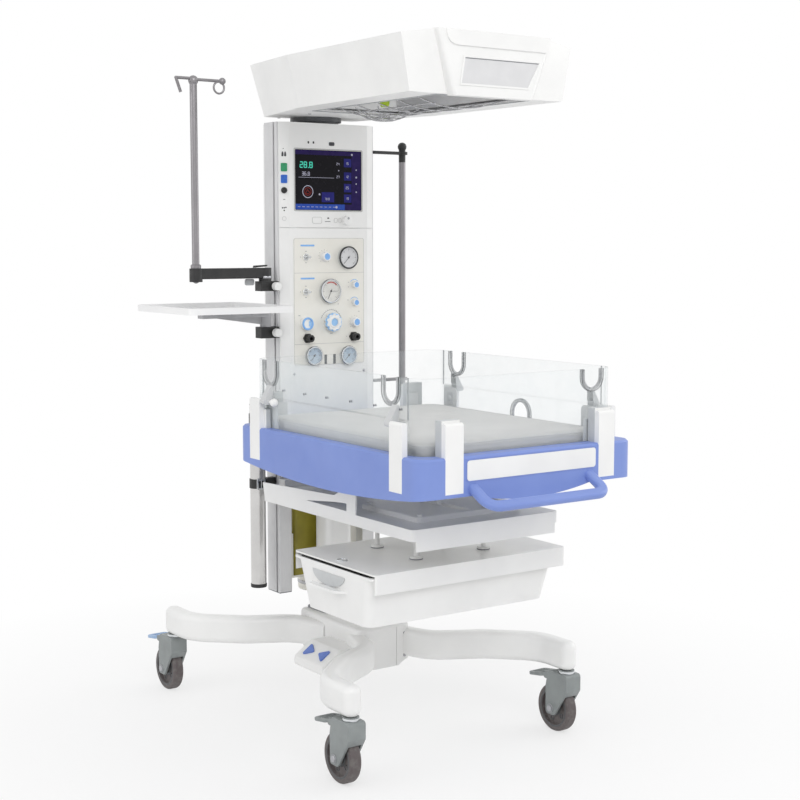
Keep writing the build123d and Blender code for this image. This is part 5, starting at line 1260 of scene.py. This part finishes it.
@dataclass
class Bed:
    """Mattress, bare plate on the skirt, grommets of the walls, hinge screws and the right clip's catch."""

    half_wide: float = 277.0
    half_long: float = 356.0
    low: float = 796.4
    high: float = 829.4
    corner: float = 34.0
    voxel: float = 5.0
    cap: float = 4.0
    spread: float = 3.5
    frames: int = 18
    start_narrower: float = 8.0
    start_thinner: float = 5.0
    start_up: float = 1.0
    creases: tuple[tuple[Point, float], ...] = (((0.009, 0.007, 1.7), 0.9), ((0.03, 0.024, 7.1), 0.35))
    sink: float = 0.9
    plate: Flat = (0, 771.5)
    skirt_front: float = -411.0
    wall_top: float = 976.6
    notch_r: float = 28.0
    left_wall: Flat = (-291.0, -286.0)
    right_wall: Flat = (286.0, 291.0)
    front_wall: Flat = (-372.5, -367.5)
    hinge_screws: tuple[float, ...] = (219, 118, 16, -89, -190, -294)

    def pad_block(self) -> bpy.types.Object:
        """Make the mattress's starting form, a little smaller than its place.

        Returns:
            The closed mesh object.
        """
        shape = Shape()
        layers = ((0.0, 7.0), (0.2, 2.2), (0.5, 0.6), (0.8, 2.2), (1.0, 7.0))
        tall = self.high - self.low - self.start_thinner
        rows = []
        for share, draw in layers:
            line = rounded((0, 0), (self.half_wide - draw) * 2 - self.start_narrower,
                           (self.half_long - draw) * 2 - self.start_narrower, self.corner - draw / 2, 8)
            level = self.low + self.start_up + tall * share
            rows.append([shape.mesh.verts.new((u, v, level)) for u, v in line])
        for first, second in zip(rows, rows[1:]):
            shape.bridge(first, second, True)
        shape.mesh.faces.new(rows[0][::-1])
        shape.mesh.faces.new(rows[-1])
        return shape.piece("mattress_pad", COVER, "bed", smooth=60.0)

    def swell(self, pad: bpy.types.Object) -> None:
        """Remesh the pad and let cloth pressure fill its cover.

        Args:
            pad: the mattress, changed in place.
        """
        remesh = pad.modifiers.new("even_cells", "REMESH")
        remesh.mode = "VOXEL"
        remesh.voxel_size = self.voxel * MM
        self.settle(pad)
        start = [v.co.copy() for v in pad.data.vertices]
        cloth = pad.modifiers.new("cover", "CLOTH")
        springs = {"quality": 5, "mass": 0.4, "use_pressure": True, "uniform_pressure_force": 4.0,
                   "tension_stiffness": 25.0, "compression_stiffness": 25.0, "bending_stiffness": 2.0}
        for key, value in springs.items():
            setattr(cloth.settings, key, value)
        cloth.settings.effector_weights.gravity = 0.0
        cloth.collision_settings.use_collision = False
        scene = bpy.context.scene
        for number in range(1, self.frames + 1):
            scene.frame_set(number)
        self.settle(pad)
        scene.frame_set(1)
        low = at(-self.half_wide - self.spread, -self.half_long - self.spread, self.low)
        high = at(self.half_wide + self.spread, self.half_long + self.spread, self.high)
        for vert, home in zip(pad.data.vertices, start):
            move = vert.co - home
            if move.length > self.cap * MM:
                vert.co = home + move.normalized() * self.cap * MM
            for k in range(3):
                vert.co[k] = min(max(vert.co[k], low[k]), high[k])

    def settle(self, pad: bpy.types.Object) -> None:
        """Turn the pad's modifiers into its mesh.

        Args:
            pad: the mattress, changed in place.
        """
        graph = bpy.context.evaluated_depsgraph_get()
        made = bpy.data.meshes.new_from_object(pad.evaluated_get(graph))
        pad.modifiers.clear()
        old = pad.data
        pad.data = made
        bpy.data.meshes.remove(old)

    def crease(self, pad: bpy.types.Object) -> None:
        """Press slow creases into the cover's upper side.

        Args:
            pad: the mattress, changed in place.
        """
        mid = (self.low + self.high) / 2 * MM
        for vert in pad.data.vertices:
            if vert.co.z > mid:
                place = vert.co * 1000.0
                rise = sum(noise.noise(Vector((place.x * u, place.y * v, seed))) * high
                           for (u, v, seed), high in self.creases)
                vert.co.z += (rise - self.sink) * MM

    def build_mattress(self) -> None:
        """Build the mattress and its piped seam."""
        pad = self.pad_block()
        self.swell(pad)
        self.crease(pad)
        for face in pad.data.polygons:
            face.use_smooth = True
        pad.modifiers.new("finer", "SUBSURF").levels = 1
        pad.modifiers["finer"].render_levels = 1
        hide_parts("mattress")
        line = rounded((0, 0), self.half_wide * 2 - 5.0, self.half_long * 2 - 5.0, self.corner - 2.0, 10)
        top = self.high - 5.4
        seam = Shape().wire([(u, v, top) for u, v in line], 1.3, 8, True)
        seam.piece("mattress_piping", COVER, "bed")

    def build_plate(self) -> None:
        """Add the bare white plate on the skirt's front, in a blue lip."""
        face = self.skirt_front
        plate = Shape().slab(rounded(self.plate, 382, 46, 7.0), face - 1.4, face)
        plate.piece("front_bare_plate", WHITE_MOULD, "bed", 0.5)
        lip = Shape().border(self.plate, (388, 52, 9.0), (383, 47, 7.2), face - 0.9, face)
        lip.piece("front_plate_lip", BLUE_MOULD, "bed", 0.3)

    def way_round(self, centre: Flat, size: float, end: float) -> list[Flat]:
        """Run down one side of a slot, round its round end and back up.

        Args:
            centre: the middle of the round end.
            size: its radius.
            end: height of the open end.

        Returns:
            The line's points.
        """
        turn = -180.0 if end > centre[1] else 180.0
        arc = ring_points(centre, size, 20, 0.0, turn)
        return [(centre[0] + size, end)] + arc + [(centre[0] - size, end)]

    def grommet(self, centre: Flat, radius: float, end: float, wall: Flat, facing: Facing,
                name: str, body: str) -> None:
        """Line one slot with a smoky rubber channel and a dark outer edge.

        Args:
            centre: the middle of its round end.
            radius: the round end's radius.
            end: height of its open end.
            wall: the wall's two faces.
            facing: SIDE for a side wall, FRONT for the front one.
            name: the piece's name.
            body: the body it rides on.
        """
        bands = ((radius - 3.0, radius + 5.5, 1.3, SMOKE, ""),
                 (radius + 5.4, radius + 6.4, 1.5, GREY_DARK, "_edge"))
        for near, far, size, finish, tag in bands:
            shape = Shape()
            way_back = self.way_round(centre, near, end)[::-1]
            line = self.way_round(centre, far, end) + way_back
            shape.slab(line, min(wall) - size, min(wall) - 0.05, facing)
            shape.slab(line, max(wall) + 0.05, max(wall) + size, facing)
            if not tag:
                lining = self.way_round(centre, radius - 0.4, end) + way_back
                shape.slab(lining, min(wall) - 0.2, max(wall) + 0.2, facing)
            shape.piece(name + tag, finish, body, 0.2)

    def build_walls(self) -> None:
        """Line the slots and the arch, and add hinge screws and the right clip's catch."""
        top, notch = self.wall_top, self.notch_r
        for name, centre, radius, end, wall, facing, body in (
                ("left_grommet_1", (284.0, 944.0), notch, top, self.left_wall, Facing.SIDE, "left_flap"),
                ("left_grommet_2", (-255.0, 944.0), notch, top, self.left_wall, Facing.SIDE, "left_flap"),
                ("right_grommet_1", (260.0, 944.0), notch, top, self.right_wall, Facing.SIDE, "right_flap"),
                ("front_grommet", (213.0, 957.0), notch, top, self.front_wall, Facing.FRONT, "front_panel"),
                ("arch_grommet", (-16.0, 831.0), 33.0, 806.6, self.right_wall, Facing.SIDE, "bed")):
            self.grommet(centre, radius, end, wall, facing, name, body)
        screws = Shape()
        for y in self.hinge_screws:
            screws.turned(((3.0, -0.2), (3.0, 0.5), (2.2, 1.1), (0.0, 1.3)), (-291.0, y, 904.5), (-1, 0, 0), 20)
            screws.turned(((3.0, -0.2), (3.0, 0.4), (0.0, 0.8)), (-286.0, y, 904.5), (1, 0, 0), 20)
        screws.piece("left_flap_screws", GREY_MID, "left_flap")
        catch = Shape().slab(rounded((284, 846), 26, 34, 6.0), 281.6, 283.2, Facing.SIDE)
        catch.turned(((8.0, 0.0), (8.0, 1.2), (6.6, 2.2), (0.0, 2.4)), (281.6, 284.0, 846.0), (-1, 0, 0), 32)
        catch.piece("right_clip_catch", GREY_LIGHT, "bed", 0.4)

    def build(self) -> None:
        """Build everything on the bed."""
        self.build_mattress()
        self.build_plate()
        self.build_walls()


# Hood

@dataclass
class Hood:
    """The hood's fascia plate and brow, lamp, roof seam, floor screws and window lip."""

    low: Flat = (-260.0, 1609.0)
    high: Flat = (-268.0, 1755.0)
    lamp_y: float = 190.0
    wire_r: float = 1.4

    def depth(self, z: float) -> float:
        """Find the y of the fascia's surface at a height."""
        share = (z - self.low[1]) / (self.high[1] - self.low[1])
        return self.low[0] + (self.high[0] - self.low[0]) * share

    def on_fascia(self, outer: Sequence[Flat], inner: Sequence[Flat] | None, near: float, far: float) -> Shape:
        """Raise a form from the sloping fascia.

        Args:
            outer: its outline in X and Z.
            inner: the outline of a hole with as many points, or None.
            near: depth of its back, negative into the fascia.
            far: depth of its front.

        Returns:
            The shape.
        """
        shape = Shape()
        if inner is None:
            shape.slab(outer, -far, -near)
        else:
            shape.frame(outer, inner, -far, -near)
        for vert in shape.mesh.verts:
            vert.co.y += self.depth(vert.co.z)
        return shape

    def build_fascia(self) -> None:
        """Add the bare grey plate in its white lip, its shadow line and the brow above."""
        plate = [(-98, 1636), (97, 1636), (128, 1694), (-90, 1694)]
        grown = [(-103, 1631.5), (101, 1631.5), (135, 1698.5), (-94.5, 1698.5)]
        self.on_fascia(grown, plate, -0.5, 2.2).piece("fascia_lip", WHITE_MOULD, "hood", 0.6)
        self.on_fascia(plate, None, -0.5, 0.4).piece("fascia_bare_plate", FASCIA_GREY, "hood")
        shadow = self.on_fascia(bar((-90, 1692.8), (127, 1692.8), 1.6), None, 0.3, 0.8)
        shadow.piece("fascia_shadow_line", GREY_MID, "hood")
        brow = [(-110, 1719), (149, 1719), (161, 1753.5), (-146, 1753.5), (-145, 1744), (-141, 1734),
                (-134, 1726), (-124, 1721)]
        self.on_fascia(brow, None, -0.5, 3.6).piece("fascia_brow", WHITE_MOULD, "hood", 1.2)

    def build_lamp(self) -> None:
        """Add the examination lamp: socket, yellow-green base, bulb and wire basket."""
        y = self.lamp_y
        socket = Shape().turned(((0.0, 0.0), (11.0, 0.0), (12.5, 3.0), (12.5, 13.0), (9.0, 20.0), (0.0, 20.0)),
                                (0, y, 1640), BELOW)
        # the socket's faint glow is painted light
        socket.piece("lamp_socket", LAMP_GREEN_PAINTED_GLOW, "hood")
        bulb = Shape().turned(((8.0, 0.0), (11.0, 3.0), (11.5, 9.0), (8.0, 14.0), (0.0, 16.5)), (0, y, 1622),
                              BELOW)
        bulb.piece("lamp_bulb", LENS, "hood")
        basket = Shape()
        for radius, z in ((70.0, 1606.0), (48.0, 1594.0), (22.0, 1587.0)):
            basket.wire([(u, v, z) for u, v in ring_points((0, y), radius, 40)], self.wire_r, 8, True)
        spine = ((90.0, 1613.5), (70.0, 1604.0), (48.0, 1592.2), (22.0, 1585.4), (4.0, 1584.0))
        for k in range(8):
            line = [(*polar((0, y), radius, math.tau * k / 8), z) for radius, z in spine]
            basket.wire(line, self.wire_r, 8)
        basket.piece("lamp_wire_basket", WIRE, "hood")

    def build_seams(self) -> None:
        """Add roof seam, floor screws and the lip round the heater window."""
        roof = Shape().border((0, 173), (260, 690, 40.0), (256, 686, 38.0), 1754.6, 1755.0, Facing.UP, 8)
        roof.piece("roof_seam", INK_FAINT, "hood")
        floor = 1613.0
        places = ((x, y, floor) for y in (560, 400) for x in (-96, 96))
        screws = Shape().studs(places, BELOW, (screw(4.6, 0.6, 1.6, 1.8), 24))
        screws.piece("hood_floor_screws", STEEL, "hood")
        trim = Shape().border((0, 50), (280, 544, 6.0), (268, 532, 3.0), floor - 1.6, floor, Facing.UP)
        trim.piece("window_lip", GREY_LIGHT, "hood", 0.5)

    def build(self) -> None:
        """Build everything on the hood."""
        self.build_fascia()
        self.build_lamp()
        self.build_seams()


# Base, casters and carrier

@dataclass
class Base:
    """Rings, bolts and ribs of the casters, and the screws and trims of hub, column, carrier and drawer."""

    stem_x: float = 335.0
    mid_y: float = 303.0
    stem_y: float = 459.0
    axle_back: float = 36.0
    axle_z: float = 62.5
    pedal_back: float = 93.0
    pedal_z: float = 147.0
    hub_front: float = 186.0
    column: Flat = (0, 445)

    def caster(self, name: str, sx: int, sy: int) -> None:
        """Dress one caster.

        Args:
            name: its corner.
            sx: -1 on the left, 1 on the right.
            sy: -1 in front, 1 behind.
        """
        x, y = sx * self.stem_x, self.mid_y + sy * self.stem_y
        ring = Shape().turned(((17.0, 0.0), (20.6, 0.6), (21.0, 3.4), (20.2, 6.4), (16.0, 8.0)), (x, y, 162.2),
                              ABOVE)
        ring.piece(f"swivel_ring_{name}", CHROME, f"fork_{name}")
        axle_y, axle_z = y + self.axle_back, self.axle_z
        bolts = Shape()
        for side in SIDES:
            bolts.studs([(x + side * 25.0, axle_y, axle_z)], (side, 0, 0),
                        (((9.4, 2.4), (8.6, 4.4), (0.0, 4.8)), 6),
                        (((11.5, -0.2), (11.5, 1.2), (10.4, 1.8)), 32))
        bolts.piece(f"axle_bolts_{name}", STEEL, f"fork_{name}")
        rings = Shape()
        spokes = [polar((axle_y, axle_z), 31.0, math.tau * k / 5) for k in range(5)]
        for side in SIDES:
            rings.studs([(x, axle_y, axle_z)], (side, 0, 0),
                        (((45.6, 14.6), (46.8, 15.5), (49.6, 15.5), (50.8, 14.6)), 56),
                        (((16.0, 7.2), (17.4, 9.4), (20.0, 9.4), (22.0, 7.2)), 40))
            rings.studs([(x, u, v) for u, v in spokes], (side, 0, 0),
                        (((7.2, 7.0), (6.6, 8.4), (4.6, 8.4), (4.0, 7.0)), 20))
        rings.piece(f"wheel_rings_{name}", GREY_DARK, f"wheel_{name}")
        ribs = Shape()
        for k in range(-2, 3):
            ribs.slab(rounded((0, 9.5 * k), 44.0 - abs(k) * 2.0, 3.0, 1.4), 0.0, 1.1, Facing.UP)
        slope = Matrix.Rotation(-math.atan2(9.0, 58.0), 3, "X")
        ribs.moved(slope, (x, y + self.pedal_back, self.pedal_z))
        ribs.piece(f"pedal_ribs_{name}", pedal_finish(name), f"brake_{name}", 0.4)

    def build_hub(self) -> None:
        """Add hub screws, a thin black sheet of painted shade for the foot control's slit, and the column's
        gasket, bolts and wiper.
        """
        places = ((x, self.hub_front, z) for x, z in ((-60, 236), (60, 236), (60, 176), (-60, 176)))
        screws = Shape().studs(places, FORWARD, (screw(5.0, 0.8, 2.0, 2.3), 24),
                               (((1.9, 1.9), (1.9, 2.5), (0.0, 2.5)), 6))
        screws.piece("hub_screws", STEEL, "base")
        # the slit is not cut: a black sheet stands for the shade in it
        slit = Shape().slab([(-138, 150), (-184, 165), (-184, 168.5), (-138, 153.5)], 197.4, 198.4)
        slit.piece("foot_control_slit_painted_shade", BLACK, "base")
        gasket = Shape().border(self.column, (118, 118, 24.0), (103.6, 103.6, 19.8), 262.0, 265.5, Facing.UP)
        gasket.piece("column_gasket", GREY_MID, "base", 0.8)
        x, y = self.column
        corners = ((x + sx * 44.5, y + sy * 44.5, 272.0) for sx in SIDES for sy in SIDES)
        bolts = Shape().studs(corners, ABOVE, (((4.8, -0.2), (4.8, 3.4), (4.2, 4.2), (0.0, 4.4)), 6))
        bolts.piece("column_bolts", STEEL, "base", 0.2)
        wiper = Shape().border(self.column, (78, 78, 18.0), (59.2, 59.2, 8.4), 560.0, 562.0, Facing.UP)
        wiper.piece("column_wiper", BLACK, "base", 0.4)

    def build_carrier(self) -> None:
        """Dot the pad's corners with small dark screws and cover the pivots."""
        places = ((x, y, 627.0) for x in (-142, 142) for y in (-162, 52))
        dots = Shape().studs(places, ABOVE, (((4.2, 0.0), (4.2, 0.7), (3.4, 1.2), (0.0, 1.3)), 24))
        dots.piece("carrier_screw_dots", GREY_DARK, "mast")
        covers = Shape()
        for side in SIDES:
            covers.turned(((12.0, -0.2), (12.0, 1.6), (10.0, 3.4), (0.0, 4.0)), (side * 222.0, 9.0, 684.0),
                          (side, 0, 0), 36)
        covers.piece("pivot_covers", GREY_MID, "mast")

    def build_drawer(self) -> None:
        """Add a pale grey half-moon of painted shade in the pull's hollow, and the housing's rings."""
        # the pull's hollow is not cut: a pale grey sheet stands for the shade above its lip
        moon = [(2 + u, 479 + v * 0.44) for u, v in ring_points((0, 0), 72, 24, 180.0, 180.0)]
        Shape().slab(moon, -296.6, -295.4, Facing.SIDE).piece("drawer_pull_hollow_painted_shade", CLIP_PALE, "drawer")
        low = 507.0
        places = ((x, y, low) for x in (-104, 104) for y in (74, -96))
        feet = Shape().studs(places, ABOVE, (((16.4, 0.0), (16.8, 1.2), (16.2, 2.4)), 40))
        feet.piece("housing_foot_rings", GREY_MID, "mast")
        ring = Shape().turned(((9.6, 2.2), (10.2, 3.2), (13.0, 3.2), (14.2, 1.6), (14.2, 0.2)), (-263, -9, low),
                              ABOVE, 40)
        ring.piece("housing_ring", CHROME, "mast")

    def build(self) -> None:
        """Build everything low on the stand."""
        for name, (sx, sy) in CORNERS.items():
            self.caster(name, sx, sy)
        self.build_hub()
        self.build_carrier()
        self.build_drawer()


# Side gear

@dataclass
class SideGear:
    """Trims of side tube, swivel arm, tray and rear box, and the columns' end caps."""

    tube: Flat = (-207.0, 500.0)
    pole: Flat = (-396.0, 480.0)
    pivot: Flat = (-190, 480)
    tray: Flat = (-334.0, 495.0)
    box_middle: Flat = (0, 532.5)

    def build_tube(self) -> None:
        """Add the strap's buckle and the tube's end cap and foot ring."""
        x, y = self.tube
        middle = x - 4.0
        buckle = Shape().border((middle, 624.5), (26, 29, 3.0), (16, 19, 2.0), y - 26.5, y - 23.6)
        buckle.slab(bar((middle, 612.0), (middle, 637.0), 2.2), y - 27.0, y - 24.5)
        buckle.piece("strap_buckle", CHROME, "mast", 0.6)
        cap = Shape().turned(((21.2, -1.0), (21.6, 1.0), (18.0, 3.4), (0.0, 4.4)), (x, y, 840.0), ABOVE)
        cap.piece("tube_cap", GREY_MID, "mast")
        foot = Shape().turned(((21.3, 0.0), (22.0, 2.0), (22.0, 9.0), (21.3, 10.0)), (x, y, 338.0), ABOVE)
        foot.piece("tube_foot_ring", BLACK, "mast")

    def build_arm(self) -> None:
        """Add the clamp's lever, the pole's collar and foot, the pivot's ring and the pale block beside it."""
        lever = Shape().slab([(-226, 1208.5), (-186, 1211.5), (-184, 1216), (-224, 1214)], 476.0, 484.0)
        lever.piece("clamp_lever", BLACK, "iv_arm", 0.8)
        collar = Shape().turned(((9.6, 0.0), (13.4, 0.4), (13.8, 8.0), (10.6, 11.0), (9.6, 11.0)),
                                (*self.pole, 1208.0), ABOVE)
        collar.piece("pole_collar", SATIN, "iv_arm")
        tip = Shape().turned(((0.0, 4.2), (4.0, 3.2), (9.0, 0.0)), (*self.pole, 1173.0), BELOW, 32)
        tip.piece("pole_foot", SATIN, "iv_arm")
        ring = Shape().turned(((17.3, 0.0), (17.9, 1.0), (17.9, 5.0), (17.3, 6.0)), (*self.pivot, 1180.0),
                              ABOVE)
        ring.piece("arm_pivot_ring", STEEL, "iv_arm")
        block = Shape().slab(rounded((-233, 1170), 26, 17, 5.0), 484.0, 492.6)
        block.piece("clamp_pale_block", GREY_LIGHT, "mast", 1.4)

    def build_tray(self) -> None:
        """Add the tray's rounded rim bead, its liner and bracket screws."""
        line = rounded(self.tray, 302.4, 317.4, 17.0, 8)
        bead = Shape().wire([(u, v, 1109.2) for u, v in line], 1.9, 8, True)
        bead.piece("tray_rim_bead", SHELF_WHITE, "shelf")
        liner = Shape().slab(rounded(self.tray, 288, 303, 12.0), 1096.8, 1098.0, Facing.UP)
        liner.piece("tray_liner", FASCIA_GREY, "shelf", 0.4)
        places = ((x, 465.0, 1088.0) for x in (-360, -300, -240))
        screws = Shape().studs(places, FORWARD, (screw(4.0, 0.6, 1.4, 1.6), 24))
        screws.piece("bracket_screws", STEEL, "shelf")

    def build_box(self) -> None:
        """Add the rear box's lid joint and catches and the canister's band."""
        joint = Shape().border(self.box_middle, (181.0, 56.0, 10.4), (179.6, 54.6, 9.8), 556.0, 559.0,
                               Facing.UP, 8)
        joint.piece("box_lid_joint", GREY_DARK, "mast")
        catches = Shape()
        for x in (-60, 60):
            catches.slab(rounded((x, 553), 22, 30, 4.0), 501.6, 505.2)
            catches.slab(rounded((x, 564), 16, 6, 2.0), 500.2, 502.0)
        catches.piece("box_catches", CREAM, "mast", 0.7)
        band = Shape().turned(((50.2, 0.0), (51.4, 1.2), (51.4, 9.0), (50.2, 10.2)), (0, 540, 318.0), ABOVE, 56)
        band.piece("canister_band", STEEL, "mast")

    def build_rails(self) -> None:
        """Close the columns' lower ends."""
        caps = Shape()
        for side in SIDES:
            caps.slab(rounded((side * 136.0, 507), 38.6, 64.6, 2.6), 315.2, 318.0, Facing.UP)
        caps.piece("column_end_caps", GREY_MID, "mast", 0.6)

    def build(self) -> None:
        """Build everything at the mast's sides."""
        self.build_tube()
        self.build_arm()
        self.build_tray()
        self.build_box()
        self.build_rails()


# Studio

WHITE = (1.0, 1.0, 1.0, 1.0)


@dataclass
class Studio:
    """Floor, lamps, surrounding light and camera."""

    place: Point = (-2.12635, -3.20305, 1.2771)
    tilt: float = 83.936
    turn: float = -34.987
    lens: float = 67.03
    sensor: float = 36.0
    around: float = 0.72
    floor: float = 40.0
    aim: Point = (0.0, 0.0, 0.9)

    def build_floor(self) -> None:
        """Lay the pale floor, which fades to white away from the object."""
        size = self.floor
        data = bpy.data.meshes.new("studio_floor")
        corners = [(x, y, 0) for x, y in box(-size, -size, size, size)]
        data.from_pydata(corners, [], [(0, 1, 2, 3)])
        placed("studio_floor", data)
        graph = Graph("studio_floor")
        tone = graph.mix(graph.cloud(600.0), linear((0.95, 0.95, 0.95)), linear((0.935, 0.935, 0.935)))
        graph.feed(graph.skin, {"Base Color": tone, "Roughness": 0.75})
        squares = [graph.maths("MULTIPLY", part, part) for part in graph.axes(graph.place)[:2]]
        radius = graph.maths("SQRT", graph.maths("ADD", *squares))
        fade = graph.band(radius, 0.4, 1.7, 0.6, 1.0)
        glow = graph.add("Emission", {"Color": WHITE, "Strength": 1.0})
        blend = graph.add("MixShader", {0: graph.maths("MULTIPLY", fade, graph.seen()),
                                        1: graph.skin.outputs[0], 2: glow.outputs[0]})
        graph.link(blend.outputs[0], graph.out.inputs["Surface"])
        data.materials.append(graph.material)

    def build_around(self) -> None:
        """Set the even surrounding light, white where it is seen."""
        world = bpy.data.worlds.new("studio_surround")
        bpy.context.scene.world = world
        world.use_nodes = True
        tree = Tree(world.node_tree)
        level = tree.band(tree.seen(), 0.0, 1.0, self.around, 1.0)
        light = tree.add("Background", {"Color": WHITE, "Strength": level})
        tree.link(light.outputs[0], tree.add("OutputWorld").inputs["Surface"])

    def lamp(self, name: str, place: Point, size: float, power: float) -> None:
        """Hang one soft lamp.

        Args:
            name: its name.
            place: where it hangs, in metres.
            size: its side in metres.
            power: its power in watts.
        """
        data = bpy.data.lights.new(name, "AREA")
        data.shape = "SQUARE"
        data.size = size
        data.energy = power
        thing = placed(name, data)
        thing.location = place
        thing.rotation_euler = (Vector(self.aim) - Vector(place)).to_track_quat("-Z", "Y").to_euler()

    def build_camera(self) -> None:
        """Set the camera at the photograph's viewing angle."""
        data = bpy.data.cameras.new("view")
        data.lens = self.lens
        data.sensor_width = self.sensor
        camera = placed("view", data)
        camera.location = self.place
        camera.rotation_euler = (math.radians(self.tilt), 0.0, math.radians(self.turn))
        bpy.context.scene.camera = camera

    def build(self) -> None:
        """Set up floor, light and camera."""
        self.build_camera()
        self.build_floor()
        self.build_around()
        self.lamp("key_lamp", (-1.2, -3.4, 3.4), 2.2, 50.0)
        self.lamp("side_lamp", (3.4, -1.2, 2.2), 2.4, 28.0)
        self.lamp("left_lamp", (-3.6, 0.6, 2.0), 2.4, 18.0)
        bpy.context.scene.view_settings.view_transform = "Standard"


def main() -> None:
    """Build the studio and each sub-assembly in order, and report every piece."""
    logging.basicConfig(level=logging.INFO, format="%(name)s: %(message)s")
    Studio().build()
    SolidFinishes().apply()
    Base().build()
    Bed().build()
    Tower().build()
    Hood().build()
    SideGear().build()


if __name__ == "__main__":
    main()
